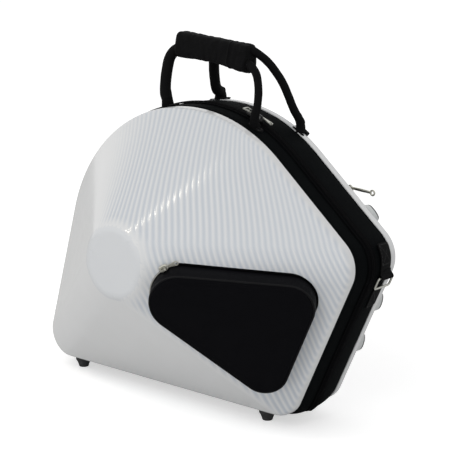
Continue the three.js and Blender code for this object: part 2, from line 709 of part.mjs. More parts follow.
// Front pocket, drawn on the slanted face between the peak and the lower right edge
const kneeY = frontY - front.wall;
const lowerOut = normalAt(lowerAngle);
const pocketOrigin = vector(outline.noseX, kneeY, outline.noseZ);
const pocketAlong = vector(-lowerOut.y, 0, lowerOut.x);
const summitEdge = vector(
  front.peakX + front.peakRadius * lowerOut.x, peakY, front.peakZ + front.peakRadius * lowerOut.y,
).sub(pocketOrigin);
const pocketOut = pocketAlong.clone().cross(summitEdge).normalize();
const onPocket = frameAt(pocketOrigin, pocketAlong, pocketOut);

const pocketTips = [
  { x: pocket.topCorner, y: pocket.hingeSetback, radius: pocket.topRadius },
  { x: pocket.pointAlong, y: pocket.pointAcross, radius: pocket.pointRadius },
  { x: pocket.bottomCorner, y: pocket.hingeSetback, radius: pocket.bottomRadius },
];
const tipRounds = pocketTips.map((tip, i) => {
  const at = new THREE.Vector2(tip.x, tip.y);
  const toward = [1, 2].map((k) => {
    const other = pocketTips[(i + k) % pocketTips.length];
    return new THREE.Vector2(other.x, other.y).sub(at).normalize();
  });
  const bisector = toward[0].clone().add(toward[1]).normalize();
  const halfAngle = Math.acos(toward[0].dot(toward[1])) / 2;
  const centre = at.addScaledVector(bisector, tip.radius / Math.sin(halfAngle));
  return { centre, radius: tip.radius, facing: bisector.negate().angle(), spread: Math.PI / 2 - halfAngle };
});

function roundedTriangle(grow) {
  const shape = new THREE.Shape();
  for (const { centre, radius, facing, spread } of tipRounds) {
    shape.absarc(centre.x, centre.y, radius + grow, facing - spread, facing + spread, false);
  }
  return shape;
}

function pocketBlock(grow, from, to, edge = 0) {
  return extruded(roundedTriangle(grow), to - from, edge).translate(0, 0, from).applyMatrix4(onPocket);
}
const hingeAcross = pocket.hingeSetback - pocket.tapeWidth / 2;
const tapeTop = clearance + pocket.tapeThickness;
const coverSeat = tapeTop + clearance;
const pocketMiddle = (pocket.topCorner + pocket.bottomCorner) / 2;
const pocketPin = vector(pocketMiddle, hingeAcross, coverSeat).applyMatrix4(onPocket);
const pocketLid = pivot('pocket_hinge', pocketPin, lid);
const overTape = exterior(coverSeat);
const pocketCover = cut(
  pocketBlock(0, -overrun, pocket.depth, pocket.edge),
  pocketBlock(-pocket.wall, -blockSize, pocket.depth - pocket.wall, pocket.edge / 2),
  overTape,
);
const tapeOver = exterior(tapeTop);
const pocketTape = cut(
  common(pocketBlock(pocket.tapeWidth, -overrun, pocket.depth), tapeOver),
  seat, pocketBlock(-pocket.tapeInset, -blockSize, blockSize),
);
piece('pocket_cover', pocketCover, blackFabric, pocketLid);
piece('pocket_zip', pocketTape, zipTape, lid);

const pointRound = tipRounds[1];
const sliderOut = normalAt(pocket.sliderAngle);
const sliderReach = pointRound.radius + slider.width / 2 + pocket.sliderGap;
const sliderFlat = pointRound.centre.clone().addScaledVector(sliderOut, sliderReach);
const sliderSpot = vector(sliderFlat.x, sliderFlat.y, pocket.sliderLift).applyMatrix4(onPocket);
const sliderWay = vector(sliderOut.y, -sliderOut.x, 0).transformDirection(onPocket);
const pocketCarriage = { carriage: lid, placed: frameAt(sliderSpot, sliderWay, pocketOut) };
dressSlider('pocket', pocketCarriage, barPuller(barPull));

// Rear pocket on the flat of the back shell, hinged along its lower edge
function rearShape(grow) {
  const points = ringPoints(caseRounds(rear.inset - grow, rear.leastRadius));
  return new THREE.Shape(points.map((p) => new THREE.Vector2(p.x, p.z)));
}

function rearBlock(grow, from, to, edge = 0) {
  const toward = new THREE.Matrix4().makeBasis(vector(1, 0, 0), vector(0, 0, 1), vector(0, -1, 0));
  const block = extruded(rearShape(grow), to - from, edge).translate(0, 0, -to);
  return block.applyMatrix4(toward.setPosition(0, plateY, 0));
}

function belowTool(z) {
  return new THREE.BoxGeometry(blockSize, blockSize, blockSize).translate(0, plateY, z - blockSize / 2);
}
const rearPin = vector(0, plateY + clearance, rear.bottomZ);
const rearLid = pivot('rear_pocket_hinge', rearPin);
const rearLow = rear.bottomZ + clearance;
const rearCover = cut(
  cut(rearBlock(0, clearance, rear.depth, rear.edge), belowTool(rearLow)),
  cut(rearBlock(-rear.wall, -overrun, rear.depth - rear.wall), belowTool(rearLow + rear.wall)),
);
piece('rear_pocket_cover', rearCover, blackFabric, rearLid);
const rearNormal = normalAt(edges.upper.angle);
const rearReach = edges.upper.distance - rear.inset + clearance;
const rearOut = vector(rearNormal.x, 0, rearNormal.y);
const rearWay = vector(rearNormal.y, 0, -rearNormal.x);
const rearSpot = vector(0, plateY + rear.sliderRise, outline.arcCentreZ)
  .addScaledVector(rearOut, rearReach).addScaledVector(rearWay, rear.sliderAlong);
const rearSet = { carriage: rearLid, placed: frameAt(rearSpot, rearWay, rearOut) };
dressSlider('rear', rearSet, barPuller(rearPull), rearPull.lift);

// Moulded rests on the slope of the back shell, each with a rubber pad
const slopeRise = back.depth - back.wall;
const slope = Math.atan2(back.plateInset, slopeRise);

function slopeFrame(edge, along) {
  const out = normalAt(edge.angle);
  const [reach, tangent] = [edge.distance - boss.inset, new THREE.Vector2(-out.y, out.x)];
  const origin = vector(
    out.x * reach + tangent.x * along,
    backY + back.wall + boss.inset * slopeRise / back.plateInset,
    outline.arcCentreZ + out.y * reach + tangent.y * along,
  );
  const facing = vector(out.x * Math.cos(slope), Math.sin(slope), out.y * Math.cos(slope));
  return frameAt(origin, vector(tangent.x, 0, tangent.y), facing);
}

const rests = [
  ['right_low', edges.lower, boss.rightLow], ['right_mid', edges.lower, boss.rightMid],
  ['right_high', edges.upper, boss.rightHigh], ['left_low', edges.left, boss.leftLow],
];
const [restRadius, restTop] = [boss.radius, boss.radius - boss.draft];
for (const [label, edge, along] of rests) {
  const place = slopeFrame(edge, along);
  const base = cleaned(disc(restRadius + boss.draft, restTop, -boss.height, boss.height));
  base.applyMatrix4(place);
  const padLow = boss.height + clearance;
  const padDisc = disc(restTop, restTop - boss.padThickness, padLow, padLow + boss.padThickness);
  const pad = cleaned(padDisc).applyMatrix4(place);
  piece(`back_rest_${label}`, cut(base, seat), whiteShell);
  piece(`back_rest_pad_${label}`, pad, rubber);
}

// Shoulder-strap fittings on the two slanted sides: webbing with a tunnel, a ring and a patch below it
function strapFitting(label, edge, upward, along) {
  const normal = normalAt(edge.angle);
  const up = vector(-normal.y * upward, 0, normal.x * upward);
  const out = vector(normal.x, 0, normal.y);
  const rise = crownShare(edge.angle) * crownAt(ring.y) + clearance;
  const barPlace = out.clone().multiplyScalar(edge.distance + rise + ring.tunnel)
    .addScaledVector(up, along).add(vector(0, ring.y, outline.arcCentreZ));
  const place = frameAt(barPlace, up, out);
  const width = ring.tabWidth;

  const strip = (from, to) => new THREE.BoxGeometry(to - from, width, overrun)
    .translate((from + to) / 2, 0, -overrun / 2).applyMatrix4(place);
  const onSide = (block) => cut(common(block, exterior(ring.tabThickness)), seat);
  const tunnel = new THREE.CylinderGeometry(ring.tunnel, ring.tunnel, width, ring.tunnelSides);
  const foot = new THREE.BoxGeometry(ring.tunnel * 2, width, ring.tunnel).translate(0, 0, -ring.tunnel / 2);
  const raised = cut(joined(tunnel, foot).applyMatrix4(place), seat);
  const bore = disc(ring.bore, ring.bore, -width, width, ring.tunnelSides).rotateX(Math.PI / 2);
  bore.applyMatrix4(place);
  piece(`${label}_strap_tab`, cut(joined(onSide(strip(0, ring.tabUp)), raised), bore), blackWebbing);
  const patch = onSide(strip(-ring.height - ring.patchDown, -ring.height - ring.patchGap));
  piece(`${label}_strap_patch`, patch, blackWebbing);

  const swing = pivot(`${label}_ring_swing`, barPlace);
  const [x, y, wire] = [ring.height, ring.width / 2, ring.wire / 2];
  const corners = [[0, -y], [-x, -y], [-x, y], [0, y]];
  const bars = corners.map(([px, py], i) => {
    const [qx, qy] = corners[(i + 1) % corners.length];
    const [dx, dy] = [Math.sign(qx - px) * wire, Math.sign(qy - py) * wire];
    const length = Math.hypot(qx - px + dx * 2, qy - py + dy * 2);
    const bar = new THREE.CylinderGeometry(wire, wire, length, ring.wireSides);
    if (dx !== 0) bar.rotateZ(Math.PI / 2);
    return bar.translate((px + qx) / 2, (py + qy) / 2, 0);
  });
  piece(`${label}_strap_ring`, joined(...bars).applyMatrix4(place), steel, swing);
}
strapFitting('right', edges.lower, 1, ring.rightAlong);
strapFitting('left', edges.left, -1, ring.leftAlong);

// Inside: a foam bed for the horn, a cradle round its bell and a box for small things
const innerDepth = back.thickness + liner.gap + liner.thickness + bed.gap;
const hollow = exterior(-innerDepth);

function slab(from, to) {
  const block = new THREE.BoxGeometry(blockSize, to - from, blockSize);
  return block.translate(0, (from + to) / 2, outline.arcCentreZ);
}

function drum(x, z, radius, from, to, endRadius = radius) {
  const round = new THREE.CylinderGeometry(endRadius, radius, to - from, bed.sides);
  return round.translate(x, (from + to) / 2, z);
}

function boxBlock(x0, x1, y0, y1, z0, z1) {
  const block = new THREE.BoxGeometry(x1 - x0, y1 - y0, z1 - z0);
  return block.translate((x0 + x1) / 2, (y0 + y1) / 2, (z0 + z1) / 2);
}
const coilRing = cut(
  drum(bed.coilX, bed.coilZ, bed.coilRadius, bed.faceY - bed.floorY, bed.floorY),
  drum(bed.coilX, bed.coilZ, bed.coreRadius, bed.faceY - bed.floorY, bed.floorY + bed.faceY),
);
const throat = drum(bell.x, bell.z, bell.throatRadius, bed.faceY, bed.throatY, bell.mouthRadius);
const boxFloorY = box.faceY + box.depth;
const well = boxBlock(
  box.leftX - clearance, box.rightX + clearance, 0, boxFloorY + clearance,
  box.bottomZ - clearance, box.topZ + clearance,
);
piece('base_bed', cut(common(hollow, slab(bed.faceY, plateY)), coilRing, throat, well), plush);

const cradle = common(hollow, slab(bell.frontY, bell.backY));
const [mouthLow, mouthHigh] = [bell.frontY - bell.grooveDepth, bell.backY + bell.grooveDepth];
const mouth = drum(bell.x, bell.z, bell.openRadius, mouthLow, mouthHigh);
const [grooveLow, grooveHigh] = [bell.rimY - bell.groove / 2, bell.rimY + bell.groove / 2];
const groove = drum(bell.x, bell.z, bell.radius, grooveLow, grooveHigh);
piece('bell_cradle', cut(cradle, mouth, groove), plush, lid);

const boxOuter = boxBlock(box.leftX, box.rightX, box.faceY, boxFloorY, box.bottomZ, box.topZ);
const boxInner = boxBlock(
  box.leftX + box.wall, box.rightX - box.wall, 0, boxFloorY - box.wall,
  box.bottomZ + box.wall, box.topZ - box.wall,
);
piece('accessory_box', cut(boxOuter, boxInner), plush);
const lidBack = box.faceY - clearance;
const lidFront = lidBack - box.lidThickness;
const boxMiddle = (box.leftX + box.rightX) / 2;
const boxLid = pivot('box_lid_hinge', vector(boxMiddle, lidFront, box.bottomZ));
const lidBoard = boxBlock(box.leftX, box.rightX, lidFront, lidBack, box.bottomZ, box.topZ);
piece('box_lid', lidBoard, plush, boxLid);
const tabFront = lidFront - clearance;
const tabHigh = box.topZ - box.tabInset;
piece('box_lid_tab', boxBlock(
  boxMiddle - box.tabWidth / 2, boxMiddle + box.tabWidth / 2, tabFront - box.tabThickness, tabFront,
  tabHigh - box.tabLength, tabHigh,
), blackWebbing, boxLid);

// Strap across the horn: one part sewn to the bed, the other folded over it and lifted off
const strapLow = strap.z - strap.width / 2;
const strapHigh = strap.z + strap.width / 2;
const strapFace = bed.faceY - clearance;
const strapFront = strapFace - strap.thickness;
const sewn = boxBlock(strap.fixedX, strap.endX, strapFront, strapFace, strapLow, strapHigh);
piece('horn_strap', sewn, blackWebbing);
const flapFace = strapFront - clearance;
const flap = pivot('horn_strap_lift', vector(strap.hingeX, flapFace, strap.z));
const flapFront = flapFace - strap.thickness;
const folded = boxBlock(strap.startX, strap.hingeX, flapFront, flapFace, strapLow, strapHigh);
piece('horn_strap_flap', folded, blackWebbing, flap);

const bounds = new THREE.Box3().setFromObject(carcase);
const middle = bounds.getCenter(new THREE.Vector3());
carcase.position.set(-middle.x, -middle.y, -bounds.min.z);
carcase.updateMatrixWorld(true);

export default carcase;
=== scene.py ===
# %% [markdown]
# # A french horn case, dressed around its CAD frame
# The case is two white moulded shells with a black fabric band and a zip between them, a sewn pocket
# on each face, two carrying handles joined by a soft grip, and a padded inside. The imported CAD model
# is loaded first. It stays where it is, and every piece made here is placed by its numbers, so that
# nothing has to be fitted by eye.

# %% Load the frame
import math

import bmesh
import bpy
from mathutils import Matrix, Vector, noise
from mathutils.bvhtree import BVHTree
from mathutils.kdtree import KDTree


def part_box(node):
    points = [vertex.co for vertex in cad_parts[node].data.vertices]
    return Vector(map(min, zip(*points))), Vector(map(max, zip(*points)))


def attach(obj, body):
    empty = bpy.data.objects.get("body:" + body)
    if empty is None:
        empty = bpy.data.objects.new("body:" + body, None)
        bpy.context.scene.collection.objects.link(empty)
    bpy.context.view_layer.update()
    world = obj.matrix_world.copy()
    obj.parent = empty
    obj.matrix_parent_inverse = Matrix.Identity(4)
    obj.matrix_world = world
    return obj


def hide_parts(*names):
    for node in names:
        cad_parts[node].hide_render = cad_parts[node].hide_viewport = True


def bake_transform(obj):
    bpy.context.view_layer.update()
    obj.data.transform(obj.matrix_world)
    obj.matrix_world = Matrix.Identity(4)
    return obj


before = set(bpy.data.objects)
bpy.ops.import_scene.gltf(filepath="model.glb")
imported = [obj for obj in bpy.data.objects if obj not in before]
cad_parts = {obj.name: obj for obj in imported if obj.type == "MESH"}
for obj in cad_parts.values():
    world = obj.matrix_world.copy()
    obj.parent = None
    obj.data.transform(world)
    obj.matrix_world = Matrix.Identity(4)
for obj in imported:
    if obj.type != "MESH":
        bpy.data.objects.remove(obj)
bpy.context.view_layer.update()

print("nodes in the frame:", len(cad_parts))

# %% [markdown]
# The case was drawn in millimetres, with the middle of its band at y = 0, the centre of its round top
# at x = 0 and its flat bottom at z = 0, and was then moved over its own box. One drawn piece whose
# place is known, the lid of the inner box, gives that move back.

# %% Drawn millimetres to scene metres
MM = 0.001
DRAWN_LID = Vector((-206, 13.7, 40))
lid_low, lid_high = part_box("box_lid")
MOVED = Vector((lid_low.x, lid_high.y, lid_low.z)) / MM - DRAWN_LID


def placed(point):
    """From drawn millimetres to scene metres."""
    return (point + MOVED) * MM


def drawn(point):
    """From scene metres to drawn millimetres."""
    return point / MM - MOVED


print("drawing moved by", [round(v, 2) for v in MOVED], "mm")

# %% [markdown]
# ## Camera
# The photograph was matched with a camera a little over two metres away, turned about forty degrees
# round the case and thirteen above it, with a long lens and a slight roll. It is set before anything
# is made, so that each new piece can be compared with the photograph at once.

# %% Camera
AZIMUTH, ELEVATION, ROLL = (math.radians(a) for a in (39.784, 13.337, 0.524))
DISTANCE, TARGET = 2.3767, Vector((0.02017, 0.04595, 0.2653))
FOCAL_PIXELS, PICTURE, SENSOR = 1633.1, 450, 36.0


def added(name, data):
    """A new object in the scene that shows the given data."""
    made = bpy.data.objects.new(name, data)
    bpy.context.scene.collection.objects.link(made)
    return made


camera_data = bpy.data.cameras.new("case_camera")
camera_data.sensor_width = SENSOR
camera_data.lens = FOCAL_PIXELS / PICTURE * SENSOR
camera_data.clip_end = 100
camera = added("case_camera", camera_data)
bpy.context.scene.camera = camera

flat = math.cos(ELEVATION)
backward = Vector((math.sin(AZIMUTH) * flat, -math.cos(AZIMUTH) * flat, math.sin(ELEVATION)))
level = Vector((math.cos(AZIMUTH), math.sin(AZIMUTH), 0))
upward = backward.cross(level)
right = level * math.cos(ROLL) + upward * math.sin(ROLL)
above = upward * math.cos(ROLL) - level * math.sin(ROLL)
spot = TARGET + backward * DISTANCE
camera.matrix_world = Matrix((
    (right.x, above.x, backward.x, spot.x),
    (right.y, above.y, backward.y, spot.y),
    (right.z, above.z, backward.z, spot.z),
    (0, 0, 0, 1),
))
print("camera at", [round(v, 3) for v in spot], "lens", round(camera_data.lens, 1))

# %% [markdown]
# ## Shader maths in plain Python
# A finish is a network of nodes. To write one like a formula, a small class holds one output socket,
# and adding or multiplying it makes the Math node. Any other node comes from one method that takes
# its type, its settings and its sockets, so a whole cloth fits in a few lines. Linking sockets one by
# one would do the same, but nobody could read the pattern in it any more.

# %% A wire
class Wire:
    """One output socket of a node tree. Sums and products of wires add Math nodes."""

    def __init__(self, network, socket):
        self.network, self.socket = network, socket

    def maths(self, operation, *values):
        return self.network.node("Math", {"operation": operation}, *values)

    def __add__(self, other):
        return self.maths("ADD", self, other)

    __radd__ = __add__

    def __mul__(self, other):
        return self.maths("MULTIPLY", self, other)

    __rmul__ = __mul__

    def __sub__(self, other):
        return self.maths("SUBTRACT", self, other)

    def __rsub__(self, other):
        return self.maths("SUBTRACT", other, self)

    def sine(self):
        return self.maths("SINE", self)

    def clipped(self, low, high):
        return self.network.node("Clamp", {}, self, low, high)

    def out(self, label):
        """Another output of the same node."""
        return Wire(self.network, self.socket.node.outputs[label])


print("a wire knows +, - and *")


# %% [markdown]
# A material and the sky are both node trees, so one class serves them. It makes a node, sets what it is
# told, and feeds each socket with a wire or with a plain number or colour.

# %% A network of nodes
class Network:
    """A node tree. Every node in it is made by one method."""

    def __init__(self, tree):
        self.tree = tree

    def node(self, kind, settings, *ordered, **named):
        made = self.tree.nodes.new("ShaderNode" + kind)
        for key, value in settings.items():
            setattr(made, key, value)
        places = list(zip([s for s in made.inputs if s.enabled], ordered))
        for name, value in named.items():
            label = name.replace("_", " ")
            places.append((next(s for s in made.inputs if s.enabled and s.name == label), value))
        for socket, value in places:
            self.feed(socket, value)
        return Wire(self, next(s for s in made.outputs if s.enabled))

    def feed(self, socket, value):
        if isinstance(value, Wire):
            self.tree.links.new(value.socket, socket)
        else:
            socket.default_value = value


print("any node comes from Network.node")

# %% [markdown]
# A finish is a network with one Principled shader in it. It also knows the few patterns that nearly all
# finishes of this case need: the place on the piece, even noise, a blend of two tones, and relief.


# %% A finish
class Finish(Network):
    """A procedural material. Constants go straight onto its shader's own sockets."""

    def __init__(self, name, **constants):
        self.material = bpy.data.materials.new(name)
        self.material.use_nodes = True
        super().__init__(self.material.node_tree)
        self.shader = self.tree.nodes["Principled BSDF"]
        for socket, value in constants.items():
            self.shader.inputs[socket.replace("_", " ")].default_value = value

    def set(self, **values):
        for name, value in values.items():
            self.feed(self.shader.inputs[name.replace("_", " ")], value)

    def place(self):
        """The point on the piece in metres, which moves with the piece."""
        return self.node("TexCoord", {}).out("Object")

    def axes(self, vector):
        parts = self.node("SeparateXYZ", {}, vector)
        return [parts.out(label) for label in "XYZ"]

    def grain(self, size_mm, detail=2.0, roughness=0.5):
        """Even noise whose patches are about size_mm across."""
        scale = 1 / (size_mm * MM)
        return self.node(
            "TexNoise", {}, Vector=self.place(), Scale=scale, Detail=detail, Roughness=roughness,
        )

    def blend(self, share, one, other):
        return self.node("Mix", {"data_type": "RGBA"}, share, one, other)

    def relief(self, height, depth_mm, strength=1.0):
        return self.node("Bump", {}, Height=height, Distance=depth_mm * MM, Strength=strength)


print("finishes can be made")

# %% [markdown]
# ## The white shell
# The real shell is moulded white plastic, glossy and cool. Its ribs are real relief, so they are in
# the mesh. The finish adds what is finer: a faint orange-peel from the mould, patches where it
# is handled and less glossy, and a slightly greyer tone in places, so that it isn't one flat white.
# It also paints shade into the grooves as a bluish grey in the base colour, which gives the ribs most of
# their contrast. How deep a point lies in a groove is stored on the mesh when the ribs are pressed in,
# and the finish reads it there as the share of painted shade.

# %% White shell finish
GROOVE = "painted_shade_share"


def white_gloss(name, tone, painted_shade_tone, roughness, peel=0.05):
    finish = Finish(name, Specular_IOR_Level=0.5, IOR=1.5)
    patches = finish.grain(90, 3)
    shade = [c * 0.94 for c in tone[:3]] + [1]
    # The stored share says how much painted shade darkens the base colour: deep in the grooves, less on the
    # disc.
    stored = finish.node("Attribute", {"attribute_name": GROOVE, "attribute_type": "GEOMETRY"})
    painted_shade_share = stored.out("Fac")
    finish.set(
        Base_Color=finish.blend(painted_shade_share.clipped(0, 1), finish.blend(patches, shade, tone), painted_shade_tone),
        Roughness=finish.grain(25, 4) * 0.07 + roughness,
        Normal=finish.relief(finish.grain(1.6, 1), peel, 0.35),
    )
    return finish.material


# The second colour is painted shade for the grooves of the ribs, a bluish grey.
SHELL_WHITE, PAINTED_GROOVE_SHADE = (0.76, 0.768, 0.775, 1), (0.535, 0.574, 0.628, 1)
shell_gloss = white_gloss("shell_gloss", SHELL_WHITE, PAINTED_GROOVE_SHADE, 0.13)
rest_gloss = white_gloss("rest_gloss", (0.62, 0.64, 0.64, 1), (0.5, 0.52, 0.54, 1), 0.3, 0.1)
print("white finishes:", shell_gloss.name, rest_gloss.name)

# %% [markdown]
# ## Black cloth, webbing and plush
# All the fabric is woven. The band and the pockets are a fine plain weave, the straps a coarse rib,
# the inside a short pile. A plain weave is two sets of threads that pass over each other, and the
# product of two sine waves gives just that. The threads of the band are finer than a pixel of the
# photograph, so a wider, softer noise also moves the tone: it stands for dust, and for painted shade of
# folds.

# %% Cloth finishes
FULL_TURN = 2 * math.pi


def woven(name, tone, light, pitch_mm, depth_mm, roughness, **constants):
    finish = Finish(name, **constants)
    x, y, z = finish.axes(finish.place())
    turns = FULL_TURN / (pitch_mm * MM)
    weave = ((x + y) * turns).sine() * ((z - y * 0.5) * turns).sine()
    # The wide patches stand for dust, and for the shade of folds painted into the colour.
    patches = finish.grain(30, 4, 0.6)
    fibre = finish.grain(0.5, 1)
    finish.set(
        Base_Color=finish.blend((patches * 0.7 + weave * 0.15 + fibre * 0.3).clipped(0, 1), tone, light),
        Roughness=fibre * 0.12 + roughness,
        Normal=finish.relief(weave * 0.5 + fibre * 0.4 + patches * 0.8, depth_mm),
    )
    return finish.material


band_cloth = woven(
    "band_cloth", (0.0017, 0.0018, 0.0021, 1), (0.004, 0.0051, 0.0056, 1), 1.1, 0.12, 0.7,
    Specular_IOR_Level=0.02,
)
pocket_cloth = woven(
    "pocket_cloth", (0.0016, 0.0016, 0.0023, 1), (0.0036, 0.0036, 0.0048, 1), 0.9, 0.08, 0.5,
    Specular_IOR_Level=0.04,
)
grip_cloth = woven(
    "grip_cloth", (0.002, 0.002, 0.0023, 1), (0.0055, 0.0055, 0.006, 1), 1.4, 0.25, 0.8,
    Specular_IOR_Level=0.08, Sheen_Weight=0.015, Sheen_Roughness=0.5,
)
webbing = woven(
    "webbing", (0.0022, 0.0022, 0.0025, 1), (0.006, 0.006, 0.0064, 1), 2.2, 0.3, 0.72,
    Specular_IOR_Level=0.06,
)
zip_cloth = woven(
    "zip_cloth", (0.0014, 0.0015, 0.0018, 1), (0.0034, 0.0035, 0.004, 1), 1.0, 0.15, 0.75,
    Specular_IOR_Level=0.02,
)
print("cloths:", [m.name for m in (band_cloth, pocket_cloth, grip_cloth, webbing, zip_cloth)])


# %% Plush finish
def pile(name, tone, light):
    finish = Finish(name, Specular_IOR_Level=0.1, Sheen_Weight=0.35, Sheen_Roughness=0.6)
    tufts = finish.grain(1.2, 2, 0.7)
    brushed = finish.grain(38, 3, 0.6)
    finish.set(
        Base_Color=finish.blend((tufts * 0.6 + brushed * 0.6 - 0.1).clipped(0, 1), tone, light),
        Roughness=tufts * 0.1 + 0.88,
        Normal=finish.relief(tufts + brushed * 2, 0.6),
    )
    return finish.material


liner_pile = pile("liner_pile", (0.02, 0.022, 0.026, 1), (0.055, 0.058, 0.066, 1))
bed_pile = pile("bed_pile", (0.024, 0.026, 0.03, 1), (0.065, 0.068, 0.076, 1))
print("plush:", liner_pile.name, bed_pile.name)

# %% [markdown]
# ## Metal, rubber and the teeth of the zips
# The pullers and rings are zinc castings with a soft nickel finish, the sliders of the main zip are
# lacquered black, and the feet and pads are matt rubber. Fine scratches in the roughness and a few
# duller patches keep the metal from looking like a mirror.


# %% Metal and rubber finishes
def cast_metal(name, tone, dull, roughness, metallic=1.0):
    finish = Finish(name, Metallic=metallic)
    x, y, z = finish.axes(finish.place())
    rubbed = finish.grain(3, 5, 0.7)
    scratch = finish.node(
        "TexNoise", {}, Vector=finish.node("CombineXYZ", {}, x * 60, y * 60, z * 900), Scale=12, Detail=2,
    )
    finish.set(
        Base_Color=finish.blend(rubbed, dull, tone),
        Roughness=scratch * 0.16 + rubbed * 0.1 + roughness,
        Normal=finish.relief(rubbed + scratch * 0.4, 0.04, 0.5),
    )
    return finish.material


def moulded(name, tone, light, roughness, grain_mm=0.8, shine=0.35):
    finish = Finish(name, Specular_IOR_Level=shine)
    speckle = finish.grain(grain_mm, 3, 0.6)
    worn = finish.grain(9, 4, 0.6)
    finish.set(
        Base_Color=finish.blend((worn * 0.8 + speckle * 0.3).clipped(0, 1), tone, light),
        Roughness=speckle * 0.15 + roughness,
        Normal=finish.relief(speckle, 0.08, 0.6),
    )
    return finish.material


nickel = cast_metal("nickel", (0.62, 0.62, 0.57, 1), (0.4, 0.4, 0.36, 1), 0.2)
warm_nickel = cast_metal("warm_nickel", (0.64, 0.63, 0.56, 1), (0.42, 0.42, 0.37, 1), 0.26)
black_lacquer = cast_metal(
    "black_lacquer", (0.02, 0.02, 0.021, 1), (0.008, 0.008, 0.008, 1), 0.3, metallic=0.3,
)
foot_rubber = moulded("foot_rubber", (0.02, 0.02, 0.021, 1), (0.05, 0.05, 0.052, 1), 0.6)
pad_rubber = moulded("pad_rubber", (0.06, 0.062, 0.062, 1), (0.11, 0.112, 0.11, 1), 0.55)
black_teeth = moulded(
    "black_teeth", (0.0015, 0.0015, 0.0018, 1), (0.0035, 0.0035, 0.004, 1), 0.6, 0.4, shine=0.03,
)
silver_teeth = moulded("silver_teeth", (0.22, 0.22, 0.2, 1), (0.5, 0.5, 0.47, 1), 0.3, 0.7)
piping_vinyl = moulded(
    "piping_vinyl", (0.0025, 0.0025, 0.003, 1), (0.006, 0.006, 0.007, 1), 0.3, 0.6, shine=0.1,
)
thread = moulded("thread", (0.008, 0.008, 0.0085, 1), (0.02, 0.02, 0.021, 1), 0.6, 0.3)
print("metals and rubbers ready")

# %% [markdown]
# ## Making a piece
# Every piece is a mesh made of rows of points, like a fisherman's net pulled over the form. Boxes and
# cylinders with modifiers would be quicker to start with, but the case is all slopes, folds and round
# corners, and on a net each point can be worked out. One function skins the rows, another closes the
# seams and makes the object.

# %% Nets of points
SHARP = math.radians(38)
WELD = 2e-6


def net(rows, around=False, along=False, caps=False):
    """Points and faces of a net. around closes every row, along joins the last row to the first."""
    width = len(rows[0])
    faces = []
    for i in range(len(rows) - (0 if along else 1)):
        j = (i + 1) % len(rows)
        for k in range(width - (0 if around else 1)):
            m = (k + 1) % width
            faces.append((i * width + k, j * width + k, j * width + m, i * width + m))
    if caps:
        last = (len(rows) - 1) * width
        faces += [tuple(range(width)), tuple(last + k for k in reversed(range(width)))]
    return [p for row in rows for p in row], faces


def cleaned(form):
    """Closes seams, drops what bounds no face, and turns all faces outwards."""
    bmesh.ops.remove_doubles(form, verts=form.verts, dist=WELD)
    bmesh.ops.delete(form, geom=[e for e in form.edges if not e.link_faces], context="EDGES")
    bmesh.ops.delete(form, geom=[v for v in form.verts if not v.link_faces], context="VERTS")
    bmesh.ops.recalc_face_normals(form, faces=form.faces)


def poured(form, mesh, sharp=SHARP):
    """Writes a form into a mesh, smooth but for its sharp edges."""
    form.to_mesh(mesh)
    form.free()
    mesh.shade_smooth()
    mesh.set_sharp_from_angle(angle=sharp)
    return mesh


def mesh_piece(name, *nets, sharp=SHARP):
    """One object from one or more nets in drawn millimetres."""
    form = bmesh.new()
    for points, faces in nets:
        made = [form.verts.new(placed(p)) for p in points]
        for face in faces:
            if len(set(face)) > 2:
                form.faces.new([made[k] for k in face])
    cleaned(form)
    return added(name, poured(form, bpy.data.meshes.new(name), sharp))


print("net tools ready")

# %% [markdown]
# A finished piece is handed to the frame in one call, so that none is left without a body or a finish.
# Where it stands for CAD nodes, these are hidden, and MuJoCo goes on using them for contact.


# %% Keeping a piece
def keep(made, body, finish, slot, *nodes):
    """Gives a piece its finish and its place in the frame."""
    made.data.materials.clear()
    made.data.materials.append(finish)
    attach(made, body)
    if nodes:
        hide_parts(*nodes)
    print(made.name, len(made.data.polygons), "faces, on", body)
    return made


print("pieces can be kept")

# %% [markdown]
# ## The outline of the case
# Seen from the front the case is four round corners joined by straight edges: a flat bottom, a slanted
# side down from the pointed end, a slanted side up from it, and a big round top that runs down to the
# left. A corner is known by its centre, its radius and the angles of its normal, and these angles stay
# the same when the outline is moved inwards. So one list of stations round the case serves the shells,
# the band, the zip and the liner alike.

# %% Corners and stations
ARC_RADIUS, ARC_Z = 237, 183
NOSE, NOSE_RADIUS = (296, 242), 46
TOE_X, TOE_RADIUS = 189, 38
HEEL_X, HEEL_RADIUS = -295, 38
HALF_BAND = 42.5


def facing(angle):
    return Vector((math.cos(angle), 0, math.sin(angle)))


def from_arc(x, z):
    return Vector((x, 0, z - ARC_Z))


nose, toe, heel = from_arc(*NOSE), from_arc(TOE_X, 0), from_arc(HEEL_X, 0)
LOWER = math.atan2(-(nose.x - toe.x), nose.z - toe.z)
UPPER = math.atan2(nose.z, nose.x) + math.acos(ARC_RADIUS / nose.length)
LEFT = math.atan2(heel.z, heel.x) % FULL_TURN - math.acos(ARC_RADIUS / heel.length)
BOTTOM = -math.pi / 2
EDGES = {BOTTOM: ARC_Z, LOWER: nose.dot(facing(LOWER)), UPPER: ARC_RADIUS, LEFT: ARC_RADIUS}
SPANS = [(BOTTOM, LOWER), (LOWER, UPPER), (UPPER, LEFT), (LEFT, BOTTOM + FULL_TURN)]


def corner(one, other, inset, radius):
    a, b = facing(one), facing(other)
    p, q = EDGES[one] - inset - radius, EDGES[other] - inset - radius
    det = a.x * b.z - a.z * b.x
    return (p * b.z - q * a.z) / det, ARC_Z + (q * a.x - p * b.x) / det, radius


